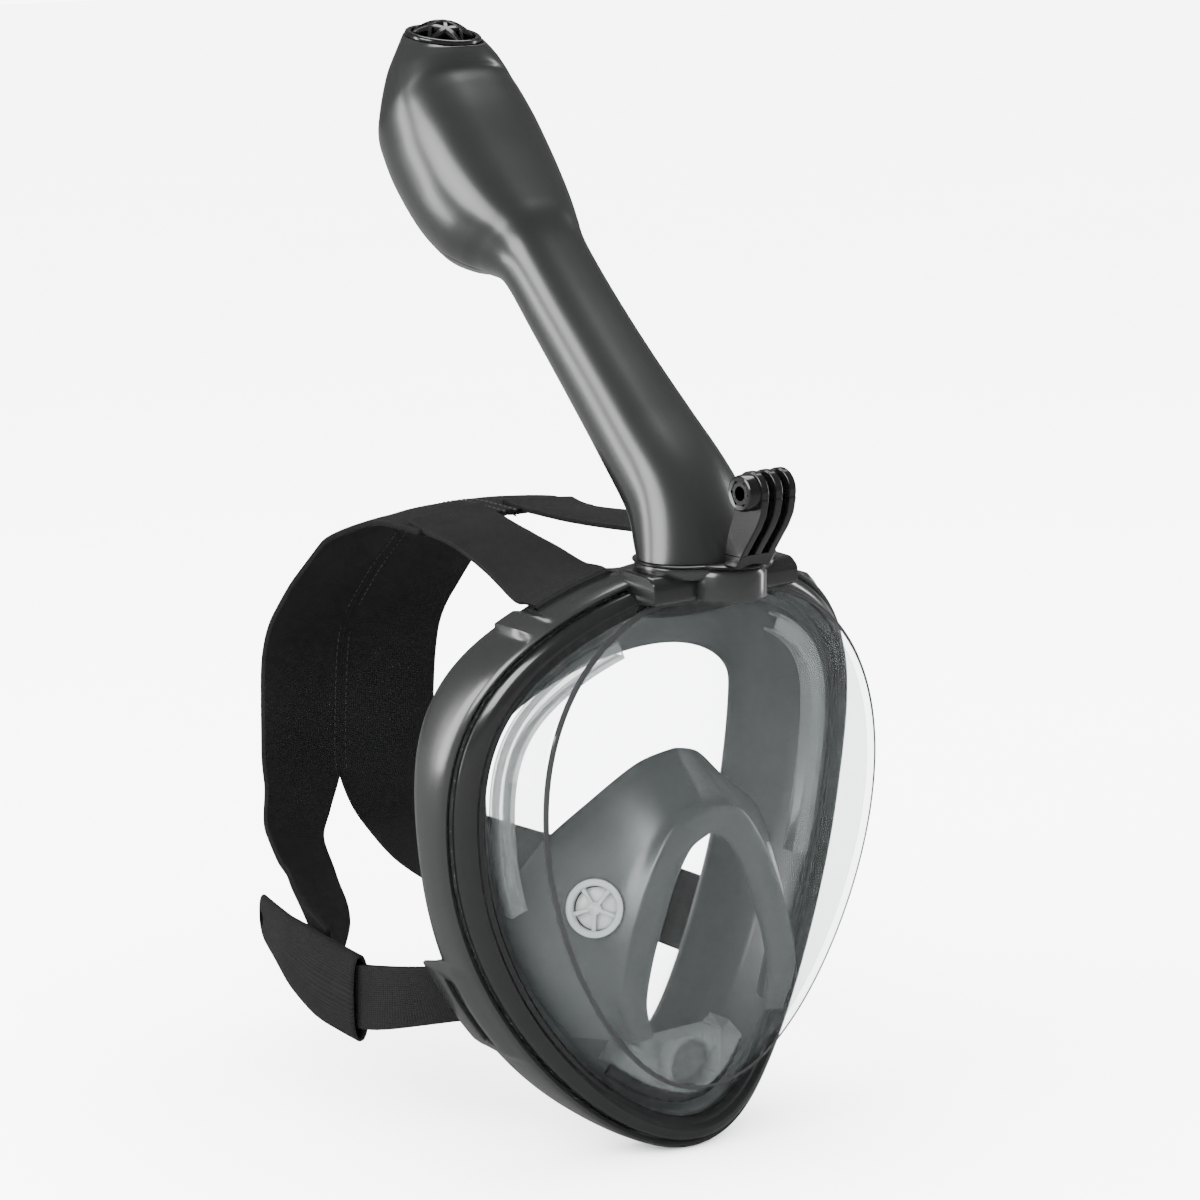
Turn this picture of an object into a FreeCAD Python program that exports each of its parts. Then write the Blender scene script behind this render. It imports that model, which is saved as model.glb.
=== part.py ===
import FreeCAD, Part
import math
import os
from FreeCAD import Vector as V

# Full face snorkel mask. Millimetres, +Z up, the lens faces -Y, the face is on the +Y side.
# Origin: centre of the face opening. Left means the -X side.

# ---- driving dimensions ----
RING_HALF_W = 91.0        # frame half width at its widest
RING_HALF_H = 110.4       # frame half height
RING_MID_Z = -3.3
RING_EGG = 0.185          # how much wider the top is than the chin
RING_SHOULDER = 0.055     # extra width at the upper corners
SIDE_Y = -34.0            # front line of the frame at the temples
BEVEL_D = 12.0            # width of the sloped front band

LENS_Y = -73.6            # flat front window
LENS_HALF_W = 75.5
LENS_HALF_H = 94.0
LENS_MID_Z = 5.3
LENS_TOP_Z = 95.0
LENS_EGG = 0.215
LENS_T = 2.4

BAND_T = 2.6              # wall of the rear frame
BAND_DEPTH = 17.0
BAND_DEPTH_EXTRA = 9.0

LEAN = math.radians(47.0)   # snorkel leans back from vertical
TUBE_ORIGIN = V(0, -69, 108)
TUBE_WALL = 2.3
FOOT = (27.0, 19.0)         # half width, half depth of the snorkel foot
FOOT_Y = -66.0
FOOT_Z = 108.8
PLUG = (19.0, 8.0)
PLUG_Y = -55.0

HOUSING_HALF_W = 33.0
SLAB_HALF_W = 27.1
PLATE_BACK_Y = -64.2
PRONG_T = 3.0
PRONG_PITCH = 6.2
PRONG_R = 7.5
PRONG_Y = -99.6
PRONG_Z = 136.4
MOUNT_HOLE_R = 2.6

VALVE_R = 10.0
VALVE_AT = V(41.5, -56.0, -17.5)
VALVE_DIR = V(0.76, -0.59, 0.27)

SPRING_R = 3.2

FLOAT_R = 12.0
FLOAT_S = 171.0
FLOAT_LEN = 26.0
FLOAT_Q = -4.5

# snorkel sections: distance along the tube, forward offset, half width, half depth
SECTIONS = [
    (26, 3.0, 21.5, 18.0), (53, 3.2, 19.5, 16.6), (84, 2.9, 18.0, 15.6),
    (112, 3.0, 17.4, 15.0), (136, 3.6, 17.6, 15.0), (147, 1.5, 20.5, 18.7),
    (154, -1.5, 23.5, 22.0), (163, -4.0, 26.4, 25.0), (178, -4.9, 29.0, 27.0),
    (196, -3.8, 30.0, 27.6), (208, -2.4, 29.6, 26.8),
]
# rounding over to the cap: y, z, tilt in degrees, half width, half depth
CROWN = [
    (89.6, 254.5, 45.5, 28.8, 25.4), (90.75, 263.2, 33.0, 26.0, 23.5),
    (91.75, 271.2, 20.5, 22.4, 20.5), (91.5, 276.2, 10.5, 19.2, 17.9),
    (91.05, 279.6, 1.0, 16.9, 16.3), (90.5, 282.3, -9.5, 15.2, 15.0),
]

X = V(1, 0, 0)
AXIS = V(0, math.sin(LEAN), math.cos(LEAN))
FWD = V(0, -math.cos(LEAN), math.sin(LEAN))
CAP_AT = V(0, 90.5, 282.3)
CAP_DIR = V(0, -math.sin(math.radians(9.5)), math.cos(math.radians(9.5)))


def deg(a):
    return math.radians(a)


# ---- the frame line everything round the face follows ----
def front_y(z):
    quartic = 6.7e-8 if z > 0 else 4.5e-8
    return SIDE_Y - 0.03 * z - 0.00203 * z * z - quartic * z ** 4


def egg_width(t):
    wide = 1 + RING_EGG * math.cos(t)
    if t < math.pi / 2:
        wide *= 1 + RING_SHOULDER * math.sin(2 * t) ** 2
    return RING_HALF_W * math.sin(t) * wide


def egg_point(t):
    return egg_width(t), RING_MID_Z + RING_HALF_H * math.cos(t)


def egg_normal(t):
    step = 1e-4
    x1, z1 = egg_point(t + step)
    x0, z0 = egg_point(max(t - step, 0.0) if t > 0 else -step)
    if t <= 0:
        x0, z0 = -egg_width(step), z1
    dx, dz = x1 - x0, z1 - z0
    n = math.hypot(dx, dz)
    return dz / n, -dx / n


def ring_point(t, d, h):
    """Point on the frame: t from the top round to the chin, d inward, h rearward."""
    x, z = egg_point(t)
    nx, nz = egg_normal(t)
    slope = 0.05 + 0.75 * math.sin(t) ** 2
    return V(x + d * nx, front_y(z) + h - slope * min(d, BEVEL_D), z + d * nz)


def wire_of(points):
    return Part.makePolygon(list(points) + [points[0]])


def loft(wires, ruled=False):
    return Part.makeLoft(wires, True, ruled)


def mirrored(shape):
    return shape.mirror(V(0, 0, 0), V(1, 0, 0))


def both(shape):
    return shape.fuse(mirrored(shape)).removeSplitter()


def arc(profile, t0, t1, n, ruled=False):
    """Loft a (d, h) outline along the right side of the frame from t0 to t1."""
    wires = []
    for i in range(n + 1):
        t = t0 + (t1 - t0) * i / n
        outline = profile(t) if callable(profile) else profile
        wires.append(wire_of([ring_point(t, d, h) for d, h in outline]))
    return loft(wires, ruled)


def full_ring(profile, n=16):
    return both(arc(profile, 0.0, math.pi, n))


def box(x0, x1, y0, y1, z0, z1):
    return Part.makeBox(x1 - x0, y1 - y0, z1 - z0, V(x0, y0, z0))


def cyl(r, length, at, direction):
    return Part.makeCylinder(r, length, at, direction)


def oval(a, b, y, z0, z1):
    """Upright elliptical prism centred on x = 0."""
    if a >= b:
        curve = Part.Ellipse(V(0, y, z0), a, b)
    else:
        curve = Part.Ellipse(V(0, y + b, z0), V(a, y, z0), V(0, y, z0))
    face = Part.Face(Part.Wire(curve.toShape()))
    return face.extrude(V(0, 0, z1 - z0))


def side_prism(points, half_w, x_mid=0.0):
    """Outline in the (y, z) plane pulled out along x."""
    face = Part.Face(wire_of([V(x_mid - half_w, y, z) for y, z in points]))
    return face.extrude(V(2 * half_w, 0, 0))


def tube_at(s, q, x=0.0):
    return TUBE_ORIGIN + AXIS * s + FWD * q + X * x


# ---- frame parts ----
def band_depth(t):
    return BAND_DEPTH + BAND_DEPTH_EXTRA * math.sin(2 * t) ** 2


def frame_profile(t):
    deep = band_depth(t)
    return [(0, 0), (0, deep), (BAND_T, deep), (BAND_T, 9.0),
            (9.5, 9.0), (9.5, 6.65), (BAND_T, 6.65), (BAND_T, 0)]


def top_gap(w):
    return box(-w, w, -100, -30, 90, 130)


def make_rear_frame():
    ear = arc([(-0.6, 21), (-0.6, 33), (2.5, 33), (2.5, 21)], deg(109), deg(131), 5)
    low_slot = arc([(-4, 14), (-4, 21), (6, 21), (6, 14)], deg(112.5), deg(127.5), 5)
    top_slot = arc([(-4, 13.5), (-4, 18), (6, 18), (6, 13.5)], deg(16), deg(31.5), 5)
    bump = arc([(-3, 5), (-3, 22), (0.4, 24), (0.4, 3)], deg(33), deg(38), 2)
    half = arc(frame_profile, 0.0, math.pi, 16)
    half = half.fuse([ear, bump]).cut(low_slot).cut(top_slot)
    return both(half).cut(top_gap(SLAB_HALF_W + 0.3))


def make_bezel():
    profile = [(2.9, 1.6), (2.9, -1.0), (4.8, -3.0), (7.6, -3.6), (10.4, -2.0), (12.5, 1.6)]
    return full_ring(profile).cut(top_gap(HOUSING_HALF_W + 0.2))


def window_point(t, inset=0.0):
    s = math.sin(t)
    x = (LENS_HALF_W - inset) * s ** 0.95 * (1 + LENS_EGG * math.cos(t))
    z = min(LENS_MID_Z + LENS_HALF_H * math.cos(t), LENS_TOP_Z)
    return x, z - inset * math.cos(t)


def window_vec(t, inset, y):
    x, z = window_point(t, inset)
    return V(x, y, z)


def lens_section(t):
    return wire_of([
        ring_point(t, 2.9, 1.85), ring_point(t, 12.8, 1.85),
        window_vec(t, 0, LENS_Y), window_vec(t, 5, LENS_Y),
        window_vec(t, 5, LENS_Y + LENS_T), window_vec(t, 2.2, LENS_Y + LENS_T),
        ring_point(t, 15.2, 4.0), ring_point(t, BEVEL_D, 4.0), ring_point(t, 2.9, 4.0)])


def make_lens():
    n = 20
    wall = both(loft([lens_section(math.pi * i / n) for i in range(n + 1)]))
    edge = [window_vec(math.pi * i / 30, 3.6, LENS_Y + 0.1) for i in range(31)]
    edge += [V(-p.x, p.y, p.z) for p in edge[-2:0:-1]]
    pane = Part.Face(wire_of(edge)).extrude(V(0, LENS_T - 0.2, 0))
    gap = HOUSING_HALF_W + 0.2
    return wall.fuse(pane).cut(box(-gap, gap, -73.1, -30, 95.2, 130))


def make_skirt():
    profile = [(3.2, 4.25), (12.5, 4.25), (14, 14), (16, 24), (24, 31), (36, 33.5),
               (36, 35.2), (23, 33.2), (14.2, 25.6), (12, 14.5), (10.3, 6.4), (3.2, 6.4)]
    gap = HOUSING_HALF_W + 0.2
    skirt = full_ring(profile).cut(box(-gap, gap, -100, -30, 95.2, 130))
    return skirt.cut(box(-22.6, 22.6, -66, -44.2, 86.2, 130))


def make_duct():
    profile = [(17.6, 0), (25, 0), (25, 6.4), (23.8, 6.4),
               (23.8, 1.2), (18.8, 1.2), (18.8, 6.4), (17.6, 6.4)]
    return arc(profile, deg(24), deg(101), 9)


# ---- nose and mouth cup ----
# front inner x, z; front outer x, z; rear x, y, z
CUP = [
    ((0, 6.5), (0, 16.5), (0, -50, 32)),
    ((9, 2), (15, 12.5), (13, -46, 28)),
    ((16, -9), (24, 1), (29, -40, 16)),
    ((21, -22), (31, -13), (50, -35, 0)),
    ((26, -36), (37, -30), (60.5, -31, -19)),
    ((29, -52), (41, -50), (57, -37, -45)),
    ((26, -64.7), (34.5, -66), (43, -47, -67.3)),
]
CUP_FRONT_Y = -70.8
CUP_T = 2.1


def cup_section(inner, outer, rear):
    ex, ez = outer[0] - inner[0], outer[1] - inner[1]
    n = math.hypot(ex, ez)
    off = V(ex / n, 0, ez / n) * CUP_T
    front, back = CUP_FRONT_Y, CUP_FRONT_Y + CUP_T
    fo = V(outer[0], back, outer[1])
    r = V(*rear)
    return wire_of([
        V(inner[0], front, inner[1]), V(outer[0], front, outer[1]), fo,
        r + off, r, fo - off, V(inner[0], back, inner[1])])


def valve_dir():
    return V(VALVE_DIR).normalize()


def make_cup():
    cup = both(loft([cup_section(*row) for row in CUP], True))
    bore = cyl(VALVE_R + 0.2, 16, VALVE_AT - valve_dir() * 8, valve_dir())
    return cup.cut(bore).cut(mirrored(bore))


def make_valve_seat():
    u = valve_dir()
    base = VALVE_AT - u * 2.0
    rim = cyl(VALVE_R, 3.6, base, u).cut(cyl(VALVE_R - 1.8, 3.6, base, u))
    spokes = [cyl(2.0, 1.6, base + u, u)]
    side = u.cross(V(0, 0, 1)).normalize()
    for k in range(5):
        bar = Part.makeBox(VALVE_R - 1, 1.5, 1.6, V(0, -0.75, 0))
        bar.rotate(V(0, 0, 0), V(0, 0, 1), 72 * k)
        turn = FreeCAD.Placement(base + u, FreeCAD.Rotation(side, u.cross(side), u, "ZXY"))
        bar.Placement = turn.multiply(bar.Placement)
        spokes.append(bar)
    return rim.fuse(spokes).removeSplitter()


def make_valve_flap():
    u = valve_dir()
    return cyl(VALVE_R - 2.2, 0.8, VALVE_AT - u * 2.2, u)


# ---- chin drain ----
def make_chin_body():
    wide = [(20.4, 2.8), (20.4, 14), (30, 14), (30, 2.8)]
    step = [(29, 4.5), (29, 10), (35, 10), (35, 4.5)]
    half = arc(wide, deg(146), math.pi, 6, True)
    half = half.fuse(arc(step, deg(150), math.pi, 5, True))
    block = box(-14, 14, -60.4, -49.6, -90.2, -72.4)
    bore = cyl(9.6, 40, V(0, -96.5, -83.2), V(0, 1, 0))
    sill = cyl(7.0, 60, V(0, -80, -83.2), V(0, 1, 0))
    return both(half).fuse(block).cut(bore).cut(sill)


def make_chin_membrane():
    return cyl(9.2, 1.2, V(0, -58.0, -83.2), V(0, 1, 0))


def make_chin_grille():
    strip = [(15.8, 5.4), (15.8, 7.0), (20.0, 7.0), (20.0, 5.4)]
    tooth = [(16.0, 5.6), (16.6, 4.4), (18.5, 2.9), (20.0, 2.9), (20.0, 5.6)]
    pieces = [arc(strip, deg(146), math.pi, 5)]
    for k in range(6):
        mid = 149.5 + 5.2 * k
        pieces.append(arc(tooth, deg(mid - 0.9), deg(mid + 0.9), 1))
    return both(pieces[0].fuse(pieces[1:]))


# ---- top housing and camera mount ----
def make_housing():
    slab = [(0, -0.5), (0, 19), (11.5, 19), (11.5, -0.5)]
    w = HOUSING_HALF_W
    mid = SLAB_HALF_W
    body = both(arc(slab, 0.0, deg(26), 4)).common(box(-mid, mid, -100, -40, 95.5, 120))
    block = side_prism([(-67, 95.5), (-78, 95.5), (-80, 97), (-80, 101.5), (-77, 104), (-67, 104)], w)
    pad = oval(FOOT[0], FOOT[1], FOOT_Y, 96, 107.4)
    rear_pad = oval(FOOT[0], FOOT[1], FOOT_Y, 100, 108.5).common(box(-40, 40, PLATE_BACK_Y + 0.2, -40, 100, 110))
    bump = cyl(14, 11.9, V(0, -79, 95.5), V(0, 0, 1))
    socket = oval(22, 10, PLUG_Y, 86.5, 97)
    body = body.fuse([block, pad, rear_pad, bump, socket])
    return body.cut(oval(PLUG[0] + 0.3, PLUG[1] + 0.3, PLUG_Y, 80, 120))


def make_camera_mount():
    plate = oval(FOOT[0] + 0.5, FOOT[1] + 0.5, FOOT_Y, 107.5, 108.6)
    plate = plate.cut(box(-40, 40, PLATE_BACK_Y, -40, 107, 109))
    half = PRONG_PITCH + PRONG_T / 2
    outline = [(-84.5, 107.5), (-92.6, 107.5), (-95.5, 112), (-99, 118), (-104, 124.5),
               (-107.1, 133), (-107.1, 136.4), (-92.1, 136.4), (-91.5, 128), (-88.6, 120),
               (-86.4, 114), (-86.4, 108.6), (-84.5, 108.6)]
    stem = side_prism(outline, half)
    eye = cyl(PRONG_R, 2 * half, V(-half, PRONG_Y, PRONG_Z), X)
    boss = cyl(6.4, 4.6, V(-half - 4.6, PRONG_Y, PRONG_Z), X)
    body = stem.fuse([eye, boss, plate])
    for side in (-1, 1):
        mid = side * PRONG_PITCH / 2
        gap = (PRONG_PITCH - PRONG_T) / 2
        body = body.cut(box(mid - gap, mid + gap, -115, -80, 113, 150))
    body = body.cut(cyl(MOUNT_HOLE_R, 60, V(-30, PRONG_Y, PRONG_Z), X))
    return body.cut(hexagon(8.3, 4.1, -half - 4.6)).removeSplitter()


def hexagon(flats, length, x0):
    r = flats / math.sqrt(3)
    points = []
    for k in range(6):
        a = math.radians(60 * k + 30)
        points.append(V(x0, PRONG_Y + r * math.cos(a), PRONG_Z + r * math.sin(a)))
    return Part.Face(wire_of(points)).extrude(V(length, 0, 0))


def make_hex_nut():
    x0 = -PRONG_PITCH - PRONG_T / 2 - 4.3
    nut = hexagon(8.0, 3.7, x0)
    return nut.cut(cyl(MOUNT_HOLE_R, 10, V(x0 - 1, PRONG_Y, PRONG_Z), X))


# ---- snorkel ----
def stations():
    """Centre, tilt, half width and half depth from the foot to the top, smoothly spaced."""
    rows = [(FOOT_Y, FOOT_Z, 0.0, FOOT[0], FOOT[1])]
    for along, q, a, b in SECTIONS:
        p = tube_at(along, q)
        rows.append((p.y, p.z, LEAN, a, b))
    rows += [(y, z, deg(tilt), a, b) for y, z, tilt, a, b in CROWN]
    smooth = [rows[0]]
    for i in range(len(rows) - 1):
        p0, p1 = rows[max(i - 1, 0)], rows[i]
        p2, p3 = rows[i + 1], rows[min(i + 2, len(rows) - 1)]
        steps = 4 if i == 0 else 3 if i < 5 else 2
        for k in range(1, steps + 1):
            smooth.append(between(p0, p1, p2, p3, k / steps))
    return smooth


def between(p0, p1, p2, p3, u):
    row = []
    for a, b, c, d in zip(p0, p1, p2, p3):
        if (b - a) * (c - b) <= 0:
            a = 2 * b - c if a == b else a
        m1, m2 = (c - a) * 0.4, (d - b) * 0.4
        cube = 2 * u ** 3 - 3 * u * u
        row.append((cube + 1) * b + (u ** 3 - 2 * u * u + u) * m1
                   - cube * c + (u ** 3 - u * u) * m2)
    return row


def tube_wire(y, z, tilt, half_w, half_d):
    ahead = V(0, -math.cos(tilt), math.sin(tilt))
    at = V(0, y, z)
    curve = Part.Ellipse(at + X * half_w, at + ahead * half_d, at)
    return Part.Wire(curve.toShape())


def tube_body(shrink, lift, drop_last):
    rows = stations()
    if drop_last:
        rows = rows[:-drop_last]
    wires = []
    for i, (y, z, tilt, a, b) in enumerate(rows):
        if i == 0:
            z += lift
        wires.append(tube_wire(y, z, tilt, a - shrink, b - shrink))
    return loft(wires, True)


def make_shell():
    shell = tube_body(0.0, 0.0, 0).cut(tube_body(TUBE_WALL, 2.4, 2))
    shell = shell.cut(cyl(11.8, 12, CAP_AT - CAP_DIR * 8, CAP_DIR))
    shell = shell.cut(oval(PLUG[0] - 2.0, PLUG[1] - 2.0, PLUG_Y, 100, 113))
    return shell.cut(button_prism(7.2, 39.4, 58.6, -22, -2))


SEAM = [(62, -45), (62, -8.0), (136, -8.0), (150, -14.0), (166, -20.0), (200, -19.5),
        (215, -15.5), (226, -8.5), (234, -0.8), (240.7, 9.8), (243, 14), (262, 30), (262, -45)]


def seam_prism(ds, dq):
    points = []
    for s, q in SEAM:
        p = tube_at(s + ds, q + dq)
        points.append((p.y, p.z))
    return side_prism(points, 45)


def make_front_shell(shell):
    return shell.cut(seam_prism(0, 0))


def make_rear_cover(shell):
    cover = shell.common(seam_prism(0.2, -0.25))
    for s in (168, 176, 184):
        slot = Part.makeBox(9, 3.0, 30)
        slot.translate(V(-4.5, -1.5, 0))
        turn = FreeCAD.Rotation(X, AXIS, FWD * -1, "ZXY")
        slot.Placement = FreeCAD.Placement(tube_at(s, -20), turn).multiply(slot.Placement)
        cover = cover.cut(slot)
    return cover


def button_prism(half_w, s0, s1, q0, q1):
    corners = [tube_at(s0, q0), tube_at(s1, q0), tube_at(s1, q1), tube_at(s0, q1)]
    return side_prism([(p.y, p.z) for p in corners], half_w)


def make_latch_button():
    button = button_prism(6.8, 39.8, 58.2, -16.4, -7.5)
    return button.cut(cyl(SPRING_R + 0.3, 5.6, tube_at(49, -12.5), FWD))


def make_latch_spring():
    at = tube_at(49, -10.0)
    return cyl(SPRING_R, 11.2, at, FWD).cut(cyl(2.0, 11.2, at, FWD))


def make_divider():
    return button_prism(13.6, 36, 146, 1.6, 3.0)


def make_plug():
    outer = oval(PLUG[0], PLUG[1], PLUG_Y, 90, FOOT_Z - 0.1)
    groove = oval(PLUG[0] + 1, PLUG[1] + 1, PLUG_Y, 98, 100.4)
    groove = groove.cut(oval(PLUG[0] - 1, PLUG[1] - 1, PLUG_Y, 98, 100.4))
    return outer.cut(oval(PLUG[0] - 2.2, PLUG[1] - 2.2, PLUG_Y, 80, 120)).cut(groove)


def make_oring():
    ring = oval(PLUG[0] + 0.15, PLUG[1] + 0.15, PLUG_Y, 98.1, 100.3)
    return ring.cut(oval(PLUG[0] - 0.9, PLUG[1] - 0.9, PLUG_Y, 98, 101))


def make_float():
    return cyl(FLOAT_R, FLOAT_LEN, tube_at(FLOAT_S, FLOAT_Q), AXIS)


def make_float_seal():
    return cyl(FLOAT_R - 1, 2.0, tube_at(FLOAT_S + FLOAT_LEN + 0.1, FLOAT_Q), AXIS)


def make_float_cage():
    base = tube_at(FLOAT_S - 4, FLOAT_Q)
    wall = cyl(14.6, 41.5, base, AXIS).cut(cyl(12.6, 44, base + AXIS * 2, AXIS))
    wall = wall.cut(cyl(8, 10, base - AXIS, AXIS))
    for k in range(2):
        window = Part.makeBox(60, 11, 26)
        window.translate(V(-30, -5.5, 9))
        window.rotate(V(0, 0, 0), V(0, 0, 1), 90 * k + 45)
        window.Placement = FreeCAD.Placement(base, FreeCAD.Rotation(X, FWD, AXIS, "ZXY")) \
            .multiply(window.Placement)
        wall = wall.cut(window)
    return wall


def make_seat_ring():
    at = tube_at(209.2, -2.35)
    face = Part.Face(Part.Wire(Part.Ellipse(at + X * 26.2, at + FWD * 23.3, at).toShape()))
    return face.extrude(AXIS * 2.2).cut(cyl(8.5, 10, tube_at(205, FLOAT_Q), AXIS))


def make_top_grille():
    rim = cyl(14.2, 3, CAP_AT + CAP_DIR * 0.1, CAP_DIR)
    rim = rim.cut(cyl(11.6, 3, CAP_AT + CAP_DIR * 0.1, CAP_DIR))
    mid = cyl(7.6, 9, CAP_AT, CAP_DIR).cut(cyl(6.0, 9, CAP_AT, CAP_DIR))
    turn = FreeCAD.Rotation(X, CAP_DIR.cross(X), CAP_DIR, "ZXY")
    bars = [mid]
    for k in range(6):
        a, b = 60 * k, 60 * k + 60
        for r0, a0, r1, a1 in ((0, a, 7, a), (6.6, a, 12.6, a), (6.6, a, 12.6, b)):
            bars.append(grille_bar(r0, a0, r1, a1, turn))
    bars = bars[0].fuse(bars[1:])
    centre = CAP_AT - CAP_DIR * 9.0
    dome = Part.makeSphere(15.5, centre).cut(Part.makeSphere(13.9, centre))
    skin = cyl(13.0, 12, CAP_AT + CAP_DIR * 0.1, CAP_DIR)
    return rim.fuse(bars.common(dome).common(skin)).removeSplitter()


def grille_bar(r0, a0, r1, a1, turn):
    p0 = V(r0 * math.cos(deg(a0)), r0 * math.sin(deg(a0)), 0)
    p1 = V(r1 * math.cos(deg(a1)), r1 * math.sin(deg(a1)), 0)
    bar = Part.makeBox((p1 - p0).Length, 1.3, 10, V(0, -0.65, 0))
    bar.rotate(V(0, 0, 0), V(0, 0, 1), math.degrees(math.atan2(p1.y - p0.y, p1.x - p0.x)))
    bar.translate(p0)
    bar.Placement = FreeCAD.Placement(CAP_AT, turn).multiply(bar.Placement)
    return bar


# ---- head strap ----
STRAP_T = 2.6
# seam line down the back of the head: y, z, half width, how far the sides wrap round
PANEL = [(50, 104.5, 42, 3), (80, 104, 41, 3), (109, 95, 42, 4), (121, 87.5, 43, 5),
         (146, 63, 44, 6), (162, 39, 43, 7), (166, -3, 42, 8), (164, -25, 41.5, 9)]


def panel_section(i):
    y, z, half_w, wrap = PANEL[i]
    y0, z0 = PANEL[max(i - 1, 0)][:2]
    y1, z1 = PANEL[min(i + 1, len(PANEL) - 1)][:2]
    along = V(0, y1 - y0, z1 - z0).normalize()
    out = V(0, -along.z, along.y)
    points = []
    for u in (-1, -0.5, 0, 0.5, 1):
        points.append(V(half_w * u, y, z) - out * (wrap * u * u))
    return wire_of(points + [p + out * STRAP_T for p in reversed(points)])


def strip(stations):
    """Flat band: each station is centre, half-width vector, thickness vector."""
    wires = []
    for at, wide, thick in stations:
        a, w, t = V(*at), V(*wide), V(*thick)
        wires.append(wire_of([a - w - t, a + w - t, a + w + t, a - w + t]))
    return loft(wires)


def make_panel():
    panel = loft([panel_section(i) for i in range(len(PANEL))])
    leg = strip([((21, 163.2, -24), (20, -5, -3), (0.2, 1.3, 0)),
                 ((30, 156, -36), (15, -8, 9), (0.5, 1.2, 0)),
                 ((48, 130, -52), (8, -6, 14), (1.0, 0.8, 0)),
                 ((64, 96, -60), (3, -2, 15.5), (1.2, 0.5, 0)),
                 ((73.5, 66, -63), (0, 0, 15), (1.3, 0.3, 0))])
    return panel.fuse([leg, mirrored(leg)])


def make_upper_strap():
    hook = arc([(-3.2, 13.9), (-3.2, 30), (-0.6, 30), (-0.6, 17.6), (4.6, 17.6), (4.6, 13.9)],
               deg(16.6), deg(30.9), 5)
    a, b = ring_point(deg(16.6), -1.9, 29), ring_point(deg(30.9), -1.9, 29)
    mid, half = (a + b) * 0.5, (a - b) * 0.5
    flat = V(-17.5, 0, 0)
    band = strip([(mid, half, (0, 0, 1.3)),
                  (V(38.5, -8, 102.6), half * 0.4 + flat * 0.6, (0, -0.05, 1.3)),
                  (V(30, 22, 104.2), (-17.5, 0, 0.6), (0, 0, 1.3)),
                  (V(23.2, 49.6, 104.4), (-17, 0, 1.5), (0, 0, 1.3))])
    return hook.fuse(band)


def make_lower_strap():
    hook = arc([(-0.8, 14.5), (-0.8, 20.4), (3.2, 20.4), (3.2, 35), (6.2, 35), (6.2, 14.5)],
               deg(113.5), deg(126.5), 5)
    a, b = ring_point(deg(113.5), 4.7, 34.5), ring_point(deg(126.5), 4.7, 34.5)
    mid, half = (a + b) * 0.5, (a - b) * 0.5
    band = strip([(mid, half, (1.5, 0, 0.4)), ((80, 18, -62), (0.5, 0, 12), (1.5, 0, 0)),
                  ((83, 36, -64.6), (0, 0, 12.5), (1.5, 0, 0)),
                  ((81.5, 58, -64), (0, 0, 12.5), (1.5, 0.1, 0))])
    return hook.fuse(band)


SLEEVE = [((83.5, 32, -65), 17, 4.0), ((81.8, 58, -64), 17, 4.2),
          ((77, 88, -61), 14, 3.2), ((67, 120, -58), 10, 2.2), ((63.5, 128, -57), 7, 1.8)]


def make_sleeve():
    outer = strip([(at, (0, 0, h), (t, 0.1 * t, 0)) for at, h, t in SLEEVE])
    pocket = strip([((83.4, 25, -64.6), (0, 0, 13.8), (2.5, 0, 0)),
                    ((82.9, 36, -64.6), (0, 0, 13.8), (2.4, 0, 0)),
                    ((81.4, 60, -64), (0, 0, 13.6), (2.3, 0.1, 0))])
    return outer.cut(pocket).cut(cyl(3.2, 40, V(45, 122, -57.8), X))


def all_parts():
    shell = make_shell()
    seat, flap, duct = make_valve_seat(), make_valve_flap(), make_duct()
    upper, lower, sleeve = make_upper_strap(), make_lower_strap(), make_sleeve()
    parts = {
        "rear_frame": make_rear_frame(), "front_bezel": make_bezel(), "lens": make_lens(),
        "face_skirt": make_skirt(), "orinasal_cup": make_cup(),
        "chin_valve_body": make_chin_body(), "chin_valve_membrane": make_chin_membrane(),
        "chin_valve_grille": make_chin_grille(), "socket_housing": make_housing(),
        "camera_mount": make_camera_mount(), "mount_hex_nut": make_hex_nut(),
        "snorkel_front_shell": make_front_shell(shell),
        "snorkel_rear_cover": make_rear_cover(shell), "snorkel_plug": make_plug(),
        "plug_oring": make_oring(), "tube_divider": make_divider(),
        "float_body": make_float(), "float_seal": make_float_seal(),
        "float_cage": make_float_cage(), "valve_seat_ring": make_seat_ring(),
        "top_grille": make_top_grille(), "latch_button": make_latch_button(),
        "latch_spring": make_latch_spring(), "headstrap_panel": make_panel(),
    }
    pairs = {"inhale_seat": seat, "inhale_flap": flap, "exhale_duct": duct,
             "upper_strap": upper, "lower_strap": lower, "strap_sleeve": sleeve}
    for name, shape in pairs.items():
        parts[name + "_right"] = shape
        parts[name + "_left"] = mirrored(shape)
    return parts


os.makedirs("parts", exist_ok=True)
for name, shape in all_parts().items():
    if len(shape.Solids) == 1:
        shape = shape.Solids[0]
    size = shape.BoundBox
    print(name, len(shape.Solids), shape.isValid(), round(shape.Volume),
          [round(v) for v in (size.XMin, size.XMax, size.YMin, size.YMax, size.ZMin, size.ZMax)])
    shape.exportStep("parts/" + name + ".step")
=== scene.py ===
"""A full face snorkel mask, remade round its CAD frame with finer meshes and procedural materials.

Shapes are written in millimetres: +X is the viewer's right, -Y points out of the window, +Z is up.
"""
import math

import bmesh
import bpy
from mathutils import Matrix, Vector, noise


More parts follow.
